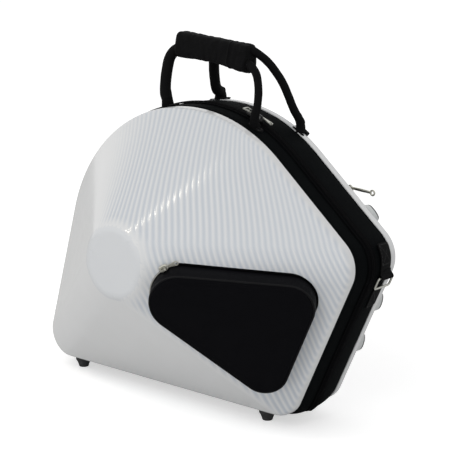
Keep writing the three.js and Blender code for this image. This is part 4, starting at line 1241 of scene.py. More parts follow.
# %% Rolled straps
def rolled(name, way, thick, slim, body, node):
    def radius(i, turn_at):
        size = thick + (slim - thick) * faded(i / (len(way) - 1), 0.35, 0.65)
        seam = 0.54 * math.exp(-((turn_at - math.pi) / 0.22) ** 2)
        oval = 0.35 * math.cos(2 * turn_at + 0.6)
        uneven = 0.22 * ripple(way[i] + Vector((turn_at * 3, 0, 0)), 9, 2)
        return size + oval + uneven + seam

    made = mesh_piece(name, sweep(way, radius, 24, ends=STRAP_RADIUS - 0.5))
    keep(made, body, webbing, "black_webbing", node)


rolled("front_handle_strap", front_way, 7.6, 5.7, "front_handle_loop", "front_handle")
rolled("back_handle_strap", back_way, 7.2, 6.3, "back_handle_loop", "back_handle")

# %% [markdown]
# Where a rolled strap ends, it opens out and is sewn flat onto its tab. That foot can't stay stiff: its
# lower end is fixed to the case while its upper end leans with the handle. So it is a piece of its own,
# swept from the case up into the strap.

# %% Feet of the straps
FOOT_RISE, FOOT_STEPS = 15, 14
LEFT_SLIM, RIGHT_SLIM = 7.9, 6.1


def strap_boot(name, way, shell_body, loop_body, x, y, slim):
    surface = on_top(x)
    low = surface(0, y + (2 if y < 0 else -1), 0.8 - shoulder_drop(y))
    high = next(p for p in way if (p - way[0]).length > FOOT_RISE)
    points = through([low, way[0] - (way[0] - low) * 0.35, way[0].lerp(high, 0.5), high], FOOT_STEPS)

    def radius(i, turn_at):
        share = i / FOOT_STEPS
        flare = (1 - faded(share, 0, 0.6)) * (0.3 + 0.9 * math.cos(turn_at) ** 2)
        tuck = 0.3 * math.cos(5 * turn_at) * (1 - share)
        return slim + flare + tuck - 0.4 * faded(share, 0.75, 1)

    made = mesh_piece(name, sweep(points, radius, 28))
    made.data.materials.append(webbing)
    placed(low)
    placed(high)
    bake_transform(made)
    print(name, "turns over from", shell_body, "to", loop_body)


for label, way, y, shell_body, left_x, right_x in (
    ("front", front_way, HANDLE_FRONT_Y, "lid", FRONT_LEFT_X, FRONT_RIGHT_X),
    ("back", back_way, HANDLE_BACK_Y, "base", BACK_LEFT_X, BACK_RIGHT_X),
):
    loop_body, name = f"{label}_handle_loop", f"{label}_strap_foot_"
    strap_boot(name + "left", way, shell_body, loop_body, left_x, y, LEFT_SLIM)
    strap_boot(name + "right", way[::-1], shell_body, loop_body, right_x, y, RIGHT_SLIM)

# %% [markdown]
# ## The soft grip
# The two loops are held together by a padded sleeve that opens along its length, so it is two halves,
# one on each loop, which meet on a slanted plane. Its cloth is slack: it is fuller in the middle than
# at its ends, it hangs lower at its right end, its long edges wave, and folds run across it. The whole
# sleeve is shaped first, as one rounded bar with soft noise for the folds, and is then parted with a
# plane. Hardly any gap is left, so that no light shows through the closed grip. A cloth simulation
# would fold the sleeve too, but not where the photograph shows the folds.

# %% The sleeve in one piece
GRIP_ROWS, GRIP_TURNS, GRIP_DEEP, GRIP_HIGH = 96, 72, 27, 36
GRIP_SQUARE, GRIP_END = 3.4, 4
FLAP_AT, FLAP_SEAM = 34, 1.6


def grip_slack(along, y, z, c, s):
    """How far the sleeve stands out at a place: its folds, its hanging edge, its flap and its slack."""
    fold = 0.81 * ripple(Vector((along * 1.6, y * 0.5, z * 0.7)), 12, 5)
    fold += 0.45 * ripple(Vector((along, y, z)), 5, 6)
    hang = 0.42 * s * (0.5 + 0.5 * math.sin(along / 11)) if s < 0 else 0
    flap = 0.54 * (1 - faded(abs(along - FLAP_AT), 0, FLAP_SEAM))
    if c < 0:
        flap -= 0.66 * faded(along, FLAP_AT, FLAP_AT + 2)
    right_bag = 5.5 * faded(along, 4, 58) * max(0, -s)
    left_bag = 2.2 * faded(-along, 22, 60) * max(0, -s, 0.6 * abs(c))
    return fold + hang + flap + right_bag + left_bag


def sleeve():
    rows = []
    for i in range(GRIP_ROWS + 1):
        along = -GRIP_HALF + 2 * GRIP_HALF * i / GRIP_ROWS
        near = min(GRIP_HALF - abs(along), GRIP_END)
        shrink = GRIP_END - math.sqrt(GRIP_END ** 2 - (GRIP_END - near) ** 2)
        row = []
        for k in range(GRIP_TURNS):
            turn_at = k * FULL_TURN / GRIP_TURNS
            c, s = math.cos(turn_at), math.sin(turn_at)
            size = (abs(c) ** GRIP_SQUARE + abs(s) ** GRIP_SQUARE) ** (-1 / GRIP_SQUARE)
            y, z = GRIP_DEEP / 2 * size * c, GRIP_HIGH / 2 * size * s
            inward = shrink + 0.9 * s - grip_slack(along, y, z, c, s)
            row.append(Vector((along, y, z)) - Vector((0, c, s)).normalized() * inward)
        rows.append([GRIP_TURN @ p + GRIP for p in row])
    return mesh_piece("sleeve", net(rows, around=True, caps=True), sharp=math.radians(60))


whole = sleeve()
print("sleeve of", len(whole.data.polygons), "faces")

# %% Grip halves
PART_LEAN, PART_GAP = 0.5236, 0.04
PART_NORMAL = GRIP_TURN @ Vector((0, math.sin(PART_LEAN), math.cos(PART_LEAN)))


def parted(whole, name, side):
    form = bmesh.new()
    form.from_mesh(whole.data)
    seat = placed(GRIP + PART_NORMAL * side * PART_GAP)
    geometry = form.verts[:] + form.edges[:] + form.faces[:]
    cut = bmesh.ops.bisect_plane(
        form, geom=geometry, plane_co=seat, plane_no=PART_NORMAL,
        clear_outer=side < 0, clear_inner=side > 0,
    )
    edges = [e for e in cut["geom_cut"] if isinstance(e, bmesh.types.BMEdge)]
    bmesh.ops.edgeloop_fill(form, edges=edges)
    bmesh.ops.recalc_face_normals(form, faces=form.faces)
    return added(name, poured(form, bpy.data.meshes.new(name)))


grip_low = parted(whole, "grip_half_front", -1)
grip_high = parted(whole, "grip_half_back", 1)
bpy.data.objects.remove(whole)
keep(grip_low, "front_handle_loop", grip_cloth, "black_fabric", "grip_front")
keep(grip_high, "back_handle_loop", grip_cloth, "black_fabric", "grip_back")

# %% [markdown]
# ## Feet and rests
# Four rubber studs stand under the band, and four moulded rests with rubber pads stand on the slope of
# the back shell. All are turned forms. The rests are already right in the CAD model. A foot is drawn
# again, with a profile read off the photograph, and its top follows the bulge of the band that it is
# screwed to.


# %% Turned feet
def turned(profile, sides=48):
    """Rows of a turned form: profile is (radius, height) pairs."""
    turns = [k * FULL_TURN / sides for k in range(sides)]
    return [[Vector((r * math.cos(a), r * math.sin(a), h)) for a in turns] for r, h in profile]


FOOT_LEFT, FOOT_RIGHT, FOOT_Y, FOOT_HEIGHT = -240, 130, 29, 21
foot_profile = [
    (3.7, 8), (3.7, 0.5), (4.2, 0), (5.8, 0), (7.1, 0.35), (7.8, 1.3), (8, 2.5), (8.6, 4.6), (9.6, 7),
    (10.9, 9.4), (12.2, 11.4), (12.5, 12.6), (12.5, 15.2), (12.1, 17.4), (2.1, 17.4), (2.1, 8),
]
for label, y, body in (("front", -FOOT_Y, "lid"), ("back", FOOT_Y, "base")):
    for side, x in (("left", FOOT_LEFT), ("right", FOOT_RIGHT)):
        rows = []
        for row in turned(foot_profile):
            moved = [p + Vector((x, y, -FOOT_HEIGHT)) for p in row]
            rows.append([Vector((p.x, p.y, min(p.z, -crown(p.y) - LEAF_TOP))) for p in moved])
        made = mesh_piece(f"{label}_stud_{side}", net(rows, around=True, along=True))
        keep(made, body, foot_rubber, "black_rubber", f"{label}_foot_{side}")

# %% [markdown]
# ## The front pocket
# The pocket is a three-cornered bag on the slanted face between the disc and the pointed end. It gets a
# flat frame of its own, laid through the pointed end, the slanted edge and the rim of the disc, and its
# outline is a triangle with rounded corners in that frame. Three tips and three radii can be compared
# with the photograph more easily than a drawn curve.

# %% Frame of the front pocket
FRONT_PEAK_Y, KNEE_Y = -HALF_BAND - FRONT["depth"], -HALF_BAND - FRONT["wall"]
lower_out = facing(LOWER)
POCKET_AT = Vector((NOSE[0], KNEE_Y, NOSE[1]))
POCKET_ALONG = Vector((-lower_out.z, 0, lower_out.x))
disc_x, disc_z, disc_radius = FRONT["disc"]
summit_edge = Vector((disc_x, FRONT_PEAK_Y, disc_z)) + lower_out * disc_radius - POCKET_AT
POCKET_OUT = POCKET_ALONG.cross(summit_edge).normalized()
POCKET_ACROSS = POCKET_OUT.cross(POCKET_ALONG)
POCKET_TIPS = [(-33, 28, 37), (-127, 343, 43), (-234, 28, 33)]


def on_pocket(u, v, w):
    return POCKET_AT + POCKET_ALONG * u + POCKET_ACROSS * v + POCKET_OUT * w


def aimed(angle):
    return Vector((math.cos(angle), math.sin(angle)))


def soft_corners(tips, step):
    """(place, outward) round a polygon with rounded corners, in its own flat frame."""
    arcs = []
    for i, (x, y, radius) in enumerate(tips):
        here = Vector((x, y))
        toward = [(Vector(tips[(i + k) % len(tips)][:2]) - here).normalized() for k in (1, 2)]
        bisector = (toward[0] + toward[1]).normalized()
        half_angle = math.acos(toward[0].dot(toward[1])) / 2
        centre = here + bisector * radius / math.sin(half_angle)
        away = -bisector
        arcs.append((centre, radius, math.atan2(away.y, away.x), math.pi / 2 - half_angle))
    way = []
    for i, (centre, radius, middle, spread) in enumerate(arcs):
        count = max(8, round(2 * radius * spread / step))
        for k in range(count + 1):
            out = aimed(middle - spread + 2 * spread * k / count)
            way.append((centre + out * radius, out))
        next_centre, next_radius, next_middle, next_spread = arcs[(i + 1) % len(arcs)]
        start, end = way[-1][0], next_centre + aimed(next_middle - next_spread) * next_radius
        count = max(1, round((end - start).length / step))
        way += [(start.lerp(end, k / count), way[-1][1]) for k in range(1, count)]
    return way


pocket_way = soft_corners(POCKET_TIPS, 3)
print("pocket outline points:", len(pocket_way))

# %% [markdown]
# The bag is sewn down onto the ribs and ridges of the shell. At every point of its outline a ray is cast
# down onto the finished shell, and a short running mean takes the small steps of the ribs out again, as
# the stiff edge of the bag bridges them. A Shrinkwrap modifier would pull the gusset down as well.

# %% Where the pocket meets the shell
RAY_START, PAST_SHELL = 80, -30


def shell_height(flat):
    """Height of the shell under a place of the pocket's plane, in the pocket's frame."""
    hit = dome_tree.ray_cast(placed(on_pocket(flat.x, flat.y, RAY_START)), -POCKET_OUT)
    if hit[0] is None:
        return PAST_SHELL
    return (drawn(hit[0]) - POCKET_AT).dot(POCKET_OUT)


def smoothed(values, reach=2):
    """Running mean of the values of a closed way."""
    count, window = len(values), range(-reach, reach + 1)
    return [sum(values[(i + k) % count] for k in window) / len(window) for i in range(count)]


pocket_seat = smoothed([shell_height(place) for place, _ in pocket_way])
print("pocket seat from", round(min(pocket_seat), 1), "to", round(max(pocket_seat), 1), "mm")

# %% [markdown]
# A pouch has a straight gusset and a slightly crowned front panel with piping round it. It is drawn as
# rows that climb the gusset, turn over the edge and run in to the middle, then back along the inside, so
# it is a closed form with a hollow inside and both pockets can share it.

# %% Pouches
GUSSET_STEPS, TURN_STEPS, OVERHANG = 8, 6, 0.4
SEAM_DIP, SEAM_AT, SEAM_SPREAD, PANEL_REACH = 0.9, 4, 3.5, 90


def pouch_rows(way, seats, to_place, depth, edge, wall, swell, panel_rise, seed, panel_steps=16):
    """Rows of a pouch: seats are the heights of its foot, to_place turns its flat frame into space."""
    middle = sum((place for place, _ in way), Vector((0, 0))) / len(way)
    rows = []
    for (place, out), seat in zip(way, seats):
        def at_inset(inset, height):
            flat = place - out * inset
            return to_place(flat.x, flat.y, height)

        row = []
        for i in range(GUSSET_STEPS + 1):
            share = i / GUSSET_STEPS
            height = seat + (depth - edge - seat) * share
            slack = swell * math.sin(math.pi * share) * (1 + 0.6 * ripple(at_inset(0, height), 22, seed))
            row.append(at_inset(-slack + OVERHANG * faded(share, 0.75, 1), height))
        for i in range(1, TURN_STEPS + 1):
            c, s = math.cos(math.pi / 2 * i / TURN_STEPS), math.sin(math.pi / 2 * i / TURN_STEPS)
            row.append(at_inset(edge * (1 - c) + OVERHANG, depth - edge + edge * s))
        start = place - out * (edge + OVERHANG)
        for i in range(1, panel_steps + 1):
            share = i / panel_steps
            flat = start.lerp(middle, share)
            rise = panel_rise * (1 - (1 - share) ** 2)
            soft_rise = 0.8 * ripple(Vector((flat.x, flat.y, 0)), 48, seed + 1) * faded(share, 0, 0.3)
            dip = SEAM_DIP * math.exp(-((share * PANEL_REACH - SEAM_AT) / SEAM_SPREAD) ** 2)
            row.append(to_place(flat.x, flat.y, depth + rise * 0.6 + soft_rise - dip))
        inner = [at_inset(wall, seat + (depth - wall - edge - seat) * i / 3) for i in range(4)]
        inner.append(at_inset(wall + edge * 0.5, depth - wall - edge * 0.25))
        for share in (0.15, 0.5, 1):
            flat = (place - out * (wall + edge)).lerp(middle, share)
            inner.append(to_place(flat.x, flat.y, depth - wall))
        rows.append(row + inner[::-1])
    return rows


PIPING_INSET, PIPING_RADIUS = 1.2, 1.5


def piping(way, to_place, height):
    flats = [place - out * PIPING_INSET for place, out in way]
    return sweep([to_place(flat.x, flat.y, height) for flat in flats], PIPING_RADIUS, 8, closed=True)


POCKET_DEPTH, POCKET_EDGE, POCKET_WALL, COVER_SEAT = 28, 5, 3, 1.8
cover_rows = pouch_rows(
    pocket_way, [seat + COVER_SEAT for seat in pocket_seat], on_pocket,
    POCKET_DEPTH, POCKET_EDGE, POCKET_WALL, 0.5, 2.2, 7,
)
front_cover = mesh_piece("front_pocket_bag", net(cover_rows, around=True, along=True))
keep(front_cover, "pocket_lid", pocket_cloth, "black_fabric", "pocket_cover")
front_cord = mesh_piece("front_pocket_piping", piping(pocket_way, on_pocket, POCKET_DEPTH - 1.6))
keep(front_cord, "pocket_lid", piping_vinyl, "black_fabric")

# %% [markdown]
# Round the foot of the pocket a flat tape is sewn to the shell, and the coil of the zip lies on it. The
# tape is laid in three lines that each follow the shell's own height, so it has no gap under it. The
# coil runs round all but the hinged edge, where the tape alone goes on. It is dark where the zip is
# shut and bare metal from the slider on.

# %% Tape and coil round the front pocket
TAPE_LINES = ((-4.4, 0.35), (-4.0, 1.3), (-0.8, 1.45), (2.5, 1.3), (2.9, 0.35))
lines = []
for offset, rise in TAPE_LINES:
    spots = [place + out * offset for place, out in pocket_way]
    heights = smoothed([shell_height(spot_at) for spot_at in spots])
    lines.append([on_pocket(p.x, p.y, h + rise) for p, h in zip(spots, heights)])
tape_rows = [list(row) for row in zip(*lines)]
pocket_tape = mesh_piece("front_pocket_tape", net(tape_rows, around=True, along=True))
keep(pocket_tape, "lid", zip_cloth, "zip_tape", "pocket_zip")

COIL_OUT, COIL_RISE, COIL_RADIUS, COIL_FROM = 1.9, 1.9, 1.15, 62


def unbroken(kept):
    """Numbers kept from a closed way, turned so that they run without a gap."""
    jump = next((k for k in range(1, len(kept)) if kept[k] > kept[k - 1] + 1), 0)
    return kept[jump:] + kept[:jump]


def coil(name, line, steps, radius, narrow):
    """A pipe along the line that narrows at every fourth of its rings."""
    way = through(line, len(line) * steps)
    return mesh_piece(name, sweep(way, lambda i, _: radius * (narrow if i % 4 == 0 else 1), 8))


open_side = unbroken([i for i, (place, _) in enumerate(pocket_way) if place.y > COIL_FROM])
coil_seats = smoothed([shell_height(place + out * COIL_OUT) for place, out in pocket_way])
coil_line = []
for i in open_side:
    flat = pocket_way[i][0] + pocket_way[i][1] * COIL_OUT
    coil_line.append(on_pocket(flat.x, flat.y, coil_seats[i] + COIL_RISE))
slider_low, slider_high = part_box("pocket_slider")
slider_at = drawn((slider_low + slider_high) / 2)
nearest = min(range(len(coil_line)), key=lambda k: (coil_line[k] - slider_at).length)
print("pocket slider near point", nearest, "of", len(coil_line))
shut, still_open = coil_line[:nearest + 1], coil_line[nearest:]
if pocket_way[open_side[0]][0].x < pocket_way[open_side[-1]][0].x:
    shut, still_open = still_open, shut
for name, line, finish in (
    ("front_pocket_coil_shut", shut, black_teeth), ("front_pocket_coil", still_open, silver_teeth),
):
    keep(coil(name, line, 5, COIL_RADIUS, 0.6), "lid", finish, "zip_tape")

# %% [markdown]
# ## The rear pocket
# On the back a second, larger pocket follows the outline of the case and is cut off straight at the
# bottom, where it folds open. It is drawn with the same pouch as the front one. Its outline is the
# case's own, moved inwards, so only the straight lower edge and its two corners have to be added.

# %% Outline of the rear pocket
REAR_INSET, REAR_LEAST, REAR_FOLD_Z, REAR_CORNER = 49, 20, 116, 11
REAR_PLATE_Y = HALF_BAND + BACK["depth"]
rear_round = rounds(REAR_INSET, REAR_LEAST)
ring_points = [outline_point(station, rear_round) for station in stations(5)]
over_fold = [k for k, p in enumerate(ring_points) if p.z > REAR_FOLD_Z + 12]
upper = [ring_points[k] for k in unbroken(over_fold)]


def at_fold(inner, outer_end):
    """Where the line through two points meets the height of the fold."""
    share = (REAR_FOLD_Z - inner.z) / (outer_end.z - inner.z)
    return inner.lerp(outer_end, share)


right_end, left_end = at_fold(upper[1], upper[0]), at_fold(upper[-2], upper[-1])
corner_right = fillet(right_end, left_end, upper[0], REAR_CORNER, 6)
corner_left = fillet(left_end, upper[-1], right_end, REAR_CORNER, 6)
rear_line = upper + corner_left + spaced(corner_left[-1], corner_right[0], 40) + corner_right
rear_way = []
for k, here in enumerate(rear_line):
    along = rear_line[(k + 1) % len(rear_line)] - rear_line[k - 1]
    rear_way.append((Vector((here.x, here.z)), Vector((along.z, -along.x)).normalized()))
print("rear pocket outline points:", len(rear_way))


# %% Rear pocket
def on_rear(u, v, w):
    return Vector((u, REAR_PLATE_Y + w, v))


REAR_DEPTH, REAR_EDGE, REAR_WALL = 28, 5, 2.5
rear_rows = pouch_rows(
    rear_way, [CLEARANCE] * len(rear_way), on_rear,
    REAR_DEPTH - 1.2, REAR_EDGE, REAR_WALL, 0.5, 1.8, 11, 26,
)
rear_bag = mesh_piece("rear_pocket_bag", net(rear_rows, around=True, along=True))
keep(rear_bag, "rear_lid", pocket_cloth, "black_fabric", "rear_pocket_cover")
rear_cord = mesh_piece("rear_pocket_piping", piping(rear_way, on_rear, REAR_DEPTH - 2.8))
keep(rear_cord, "rear_lid", piping_vinyl, "black_fabric")

# %% [markdown]
# The zip of the rear pocket follows the edge of the pouch and crosses over under it, a little above the
# fold. Its tape lies flat on the plate of the back, and the coil lies on the tape. The plate is plain
# and level, so no ray is needed to find it. The ends of the zip meet at the longest step on the way.

# %% Zip of the rear pocket
REAR_TAPE = ((-1, 0.1), (-1, 0.9), (3.5, 1.1), (7.4, 0.9), (8, 0.1))
REAR_COIL_OUT, REAR_COIL_RISE = 2.4, 1.7
rear_open = [(place, out) for place, out in rear_way if place.y > REAR_FOLD_Z + 16]
split = max(range(1, len(rear_open)), key=lambda k: (rear_open[k][0] - rear_open[k - 1][0]).length)
rear_open = rear_open[split:] + rear_open[:split]
print("rear zip starts at point", split, "of", len(rear_open))


def beside_rear(place, out, offset, rise):
    flat = place + out * offset
    return on_rear(flat.x, flat.y, rise)


tape_rows = [[beside_rear(place, out, *spot_at) for spot_at in REAR_TAPE] for place, out in rear_open]
rear_tape = mesh_piece("rear_pocket_tape", net(tape_rows, around=True, caps=True))
keep(rear_tape, "base", zip_cloth, "zip_tape")
rear_line = [beside_rear(place, out, REAR_COIL_OUT, REAR_COIL_RISE) for place, out in rear_open]
keep(coil("rear_pocket_coil", rear_line, 6, 1.1, 0.62), "base", silver_teeth, "zip_tape")

# %% [markdown]
# The puller of the rear pocket is a stamped bar with a round eye at its end. It stands out behind the
# case and is seen on its edge, where the real one is thick and rounded, so a fuller one is swept here:
# a bar, oval in section, and a ring of wire for the eye, on the line of the CAD puller.

# %% Puller of the rear pocket
EYE, EYE_WIRE, EYE_INSET, EYE_STEPS = 3.6, 1.35, 5.2, 28
BAR_HALF, BAR_START, BAR_STEPS = 3.1, 1.5, 12
puller_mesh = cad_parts["rear_puller"]
spots = [drawn(puller_mesh.matrix_world @ v.co) for v in puller_mesh.data.vertices]
body_of_slider = drawn(sum(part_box("rear_slider"), Vector()) / 2)
tip = max(spots, key=lambda p: (p - body_of_slider).length)
root = min(spots, key=lambda p: (p - body_of_slider).length)
middle = sum(spots, Vector()) / len(spots)
run = (tip - root).normalized()
reach = max((p - root).dot(run) for p in spots)
side = run.cross(Vector((0, 1, 0))).normalized()
axis_start = root + (middle - root) - run * (middle - root).dot(run)
bar_reach = reach - EYE_INSET - EYE - BAR_START
bar_points = [axis_start + run * (BAR_START + bar_reach * k / BAR_STEPS) for k in range(BAR_STEPS + 1)]
eye_at = axis_start + run * (reach - EYE_INSET)
eye_turns = [k * FULL_TURN / EYE_STEPS for k in range(EYE_STEPS)]
eye_points = [eye_at + run * EYE * math.cos(a) + side * EYE * math.sin(a) for a in eye_turns]


def bar_section(i, turn_at):
    taper = 1 - 0.18 * abs(2 * i / BAR_STEPS - 1)
    return (BAR_HALF - 1.2 * math.cos(turn_at) ** 2) * taper


bar, eye = sweep(bar_points, bar_section, 16, ends=1.4), sweep(eye_points, EYE_WIRE, 12, closed=True)
rear_bar = mesh_piece("rear_puller_bar", bar, eye)
keep(rear_bar, "rear_pull", warm_nickel, "silver_metal", "rear_puller")

# %% [markdown]
# ## The padded inside
# Both shells are lined with foam under grey plush, which shows when the lid is open. The liner follows
# the shell from inside, so its rows are those of the shell moved inwards, and the face that is seen
# swells and dips a little as glued plush does. Thickening a copy of the shell with a modifier would
# carry the ribs along.

# %% Liners
LINER_OUT, LINER_IN, LINER_START, LINER_STEP, LINER_SLOPE_STEPS = 3.7, 12.7, 4, 6, 30


def liner(name, side, seed):
    places = stations(LINER_STEP)
    outside, inside = (
        shell_rows(side, inset, LINER_START, places, LINER_SLOPE_STEPS, 3)
        for inset in (LINER_OUT, LINER_IN)
    )
    rows = []
    for outer, inner in zip(outside, inside):
        soft = [inner[0]]
        for k in range(1, len(inner) - 1):
            way = (outer[k] - inner[k]).normalized()
            swell = 0.5 * (1 + ripple(inner[k], 34, seed)) + 0.25 * (1 + ripple(inner[k], 9, seed + 1))
            soft.append(inner[k] + way * swell)
        rows.append(outer + (soft + [inner[-1]])[::-1])
    body_net = net(rows, along=True)
    rim = net([[row[0] for row in rows], [row[-1] for row in rows]], around=True)
    return mesh_piece(name, body_net, rim)


for name, side, body, node, seed in (
    ("front_lining", FRONT, "lid", "lid_liner", 21), ("back_lining", BACK, "base", "base_liner", 23),
):
    lining = keep(liner(name, side, seed), body, liner_pile, "grey_plush", node)

# %% [markdown]
# The bed with its two recesses, the collar that holds the bell and the box for small things are foam
# covered with plush. Their hard CAD forms are copied, remeshed into even small faces, rounded by
# smoothing and pressed in with soft dents, which gives the slightly uneven look of covered foam. The
# collar is fuller than the rest, so it is also puffed by a short cloth simulation with air pressure
# inside. No point may move far, so each piece stays in its own place.


# %% Covered foam
def remeshed(name, node, voxel_mm, rounding):
    """A copy of a CAD part with even small faces and rounded edges."""
    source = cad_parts[node]
    made = added(name, source.data.copy())
    made.matrix_world = source.matrix_world
    even = made.modifiers.new("even faces", "REMESH")
    even.mode, even.voxel_size = "VOXEL", voxel_mm * MM
    soft = made.modifiers.new("rounding", "SMOOTH")
    soft.factor, soft.iterations = 0.5, rounding
    return settled(made)


def settled(made):
    """Applies what stands on a piece and drops the modifiers."""
    bpy.context.view_layer.update()
    evaluated = made.evaluated_get(bpy.context.evaluated_depsgraph_get())
    result = bpy.data.meshes.new_from_object(evaluated)
    made.modifiers.clear()
    made.data = result
    made.data.shade_smooth()
    return made


def puffed(made, pressure, cap_mm, frames=20):
    """Blows a closed piece up with cloth, and caps how far each point moves."""
    before = [v.co.copy() for v in made.data.vertices]
    cloth = made.modifiers.new("air", "CLOTH")
    cloth.settings.use_pressure = True
    cloth.settings.uniform_pressure_force = pressure
    cloth.settings.effector_weights.gravity = 0
    cloth.settings.quality = 5
    cloth.settings.tension_stiffness = cloth.settings.compression_stiffness = 25
    cloth.point_cache.frame_start, cloth.point_cache.frame_end = 1, frames
    for step in range(1, frames + 1):
        bpy.context.scene.frame_set(step)
    settled(made)
    bpy.context.scene.frame_set(1)
    for vertex, start in zip(made.data.vertices, before):
        moved = vertex.co - start
        if moved.length > cap_mm * MM:
            vertex.co = start + moved.normalized() * cap_mm * MM
    return made


def lowered(made, size_mm, depth_mm, seed):
    """Presses soft dents into a piece, always inwards."""
    normals = [v.normal.copy() for v in made.data.vertices]
    for vertex, normal in zip(made.data.vertices, normals):
        vertex.co -= normal * depth_mm * MM * 0.5 * (1 + ripple(drawn(vertex.co), size_mm, seed))
    return made


print("foam helpers ready")

# %% Bed, bell collar and box
DENT_SIZE, DENT_DEPTH = 26, 0.7
for name, node, body, voxel_mm, rounding, pressure, cap_mm, fill in (
    ("foam_bed", "base_bed", "base", 5, 5, 0, 0, 1),
    ("bell_collar", "bell_cradle", "lid", 5, 6, 4, 1.6, 0.9),
    ("box_body", "accessory_box", "base", 1.6, 3, 0, 0, 1),
    ("box_cover", "box_lid", "compartment_lid", 1.6, 3, 0, 0, 1),
):
    foam = lowered(remeshed(name, node, voxel_mm, rounding), DENT_SIZE, DENT_DEPTH, len(name))
    if pressure:
        puffed(foam, pressure, cap_mm)
    keep(foam, body, bed_pile, "grey_plush", node)

# %% [markdown]
# A strap with a touch-and-close flap keeps the horn down in its bed, and a small tab opens the lid of
# the box. Both are flat webbing with sewn ends, drawn with the strap helper on a flat face.


# %% Horn strap, flap and tab
def facing_front(y_back, turned_up=False):
    """A flat face that looks to the front at y_back: rise is counted towards the front."""
    def surface(along, across, rise):
        x, z = (across, along) if turned_up else (along, across)
        return Vector((x, y_back - rise - 0.1 * ripple(Vector((along, across, y_back)), 18, 9), z))
    return surface


straps = (
    ("horn_strap_web", "horn_strap", "base", facing_front(13.7), (88, 230), (207, 245), 3.0),
    ("horn_flap_web", "horn_strap_flap", "strap_flap", facing_front(10.4), (-30, 98), (207, 245), 3.0),
    ("box_tab_web", "box_lid_tab", "compartment_lid", facing_front(9.4, True), (74, 90), (-147, -125), 1.6),
)
for name, node, body, surface, along, across, thick in straps:
    high = thick - CLEARANCE
    web = mesh_piece(name, sewn(surface, along, across, 0.15, high, 3, 0.7))
    keep(web, body, webbing, "black_webbing", node)
    seams = sewn_down(surface, [frame_way(along, across, SEAM_INSET)], high)
    keep(mesh_piece(name + "_thread", *seams), body, thread, "black_webbing")

# %% [markdown]
# ## What stays from the CAD model
# The sliders, pullers, screws, rests and pads are hard parts whose CAD form is already right. They keep
# it, and only get the finishes made above.

# %% Finishes of the carried-over parts
REST_PLACES = ("right_low", "right_mid", "right_high", "left_low")
carried = {
    "left_slider": black_lacquer, "right_slider": black_lacquer,
    "left_puller": nickel, "right_puller": nickel, "pocket_slider": warm_nickel,
    "pocket_puller": warm_nickel, "rear_slider": warm_nickel,
}
for end in ("front", "back"):
    for side in ("left", "right"):
        carried[f"{end}_foot_screw_{side}"] = nickel
for place in REST_PLACES:
    carried["back_rest_" + place] = rest_gloss
    carried["back_rest_pad_" + place] = pad_rubber
for node, finish in carried.items():
    for slot_of_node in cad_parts[node].material_slots:
        slot_of_node.material = finish
print("carried over:", len(carried), "nodes")

# %% [markdown]
# ## Floor and light
# The floor is plain and pale. To the camera it also gives off a little light of its own, so that it
# reads white while the case still darkens it, and nothing more is poured onto the case for that.

# %% Floor
PALE, WHITE = (0.8, 0.8, 0.8, 1), (1, 1, 1, 1)
FLOOR_REACH, FLOOR_SIDES, FLOOR_GLOW = 30, 48, 0.55
ground = Finish("studio_floor", Base_Color=PALE, Roughness=0.9)
glowing = ground.node(
    "BsdfPrincipled", {},
    Base_Color=PALE, Roughness=0.9, Emission_Color=WHITE, Emission_Strength=FLOOR_GLOW,
)
plain = Wire(ground, ground.shader.outputs[0])
choice = ground.node("MixShader", {}, ground.node("LightPath", {}).out("Is Camera Ray"), plain, glowing)
ground.feed(ground.tree.nodes["Material Output"].inputs["Surface"], choice)

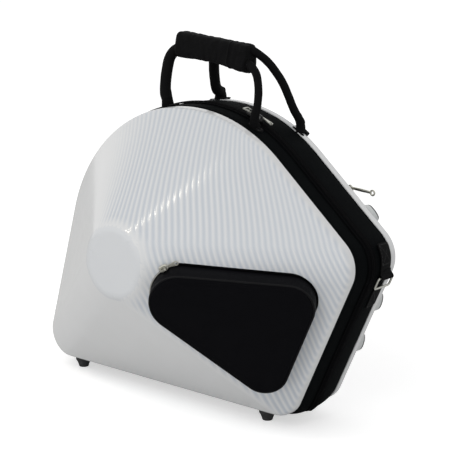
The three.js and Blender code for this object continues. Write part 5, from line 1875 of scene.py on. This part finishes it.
floor_turns = [k * FULL_TURN / FLOOR_SIDES for k in range(FLOOR_SIDES)]
rim = [(FLOOR_REACH * math.cos(a), FLOOR_REACH * math.sin(a), 0) for a in floor_turns]
floor_mesh = bpy.data.meshes.new("studio_floor")
floor_mesh.from_pydata(rim, [], [range(FLOOR_SIDES)])
floor_mesh.materials.append(ground.material)
added("studio_floor", floor_mesh)
print("floor ready")

# %% [markdown]
# The sky lights the case evenly and softly. The camera, mirrors and glass see it as plain white, which
# is brighter than what it gives as light. Two wide lamps in front, one high and one low, add a soft
# direction. They are kept out of reflections, as a photographer does with diffusers, and one small warm
# lamp overhead is left in them: it draws the single streak down the glossy dome.

# %% Sky
SKY_LIGHT, SKY_SEEN = 0.6, 1
sky = bpy.data.worlds.new("studio_sky")
bpy.context.scene.world = sky
sky.use_nodes = True
air = Network(sky.node_tree)
air.tree.nodes.remove(air.tree.nodes["Background"])
soft, seen = (air.node("Background", {}, WHITE, strength) for strength in (SKY_LIGHT, SKY_SEEN))
rays = air.node("LightPath", {})
mirrored = rays.maths("MAXIMUM", rays.out("Is Glossy Ray"), rays.out("Is Transmission Ray"))
any_seen = rays.maths("MAXIMUM", rays.out("Is Camera Ray"), mirrored)
sky_choice = air.node("MixShader", {}, any_seen, soft, seen)
air.feed(air.tree.nodes["World Output"].inputs["Surface"], sky_choice)
print("sky ready")

# %% Lamps
CASE_MIDDLE = (0, 0, 0.25)


def lamp(name, spot, aim, width, power, tone=(1, 1, 1), mirrored=True, length=None):
    data = bpy.data.lights.new(name, "AREA")
    data.shape, data.size, data.size_y = "ELLIPSE", width, length or width
    data.energy, data.color = power, tone
    made = added(name, data)
    made.location = spot
    made.rotation_euler = (Vector(aim) - Vector(spot)).to_track_quat("-Z", "Y").to_euler()
    made.visible_glossy = mirrored


lamp("high_soft", (0.5, -2.6, 2.6), CASE_MIDDLE, 2.2, 24, mirrored=False)
lamp("low_soft", (0.9, -2.6, 0.3), CASE_MIDDLE, 1.6, 9.5, mirrored=False)
lamp("streak", (-0.42, -1.69, 2.81), (0.05, -0.12, 0.32), 0.2, 5.5, (1, 0.92, 0.76), length=0.36)
bpy.context.scene.view_settings.view_transform = "Standard"
print("lamps and view set")

# %% [markdown]
# Last, the scene is ready.

# %% End of the scene
print("scene ready")
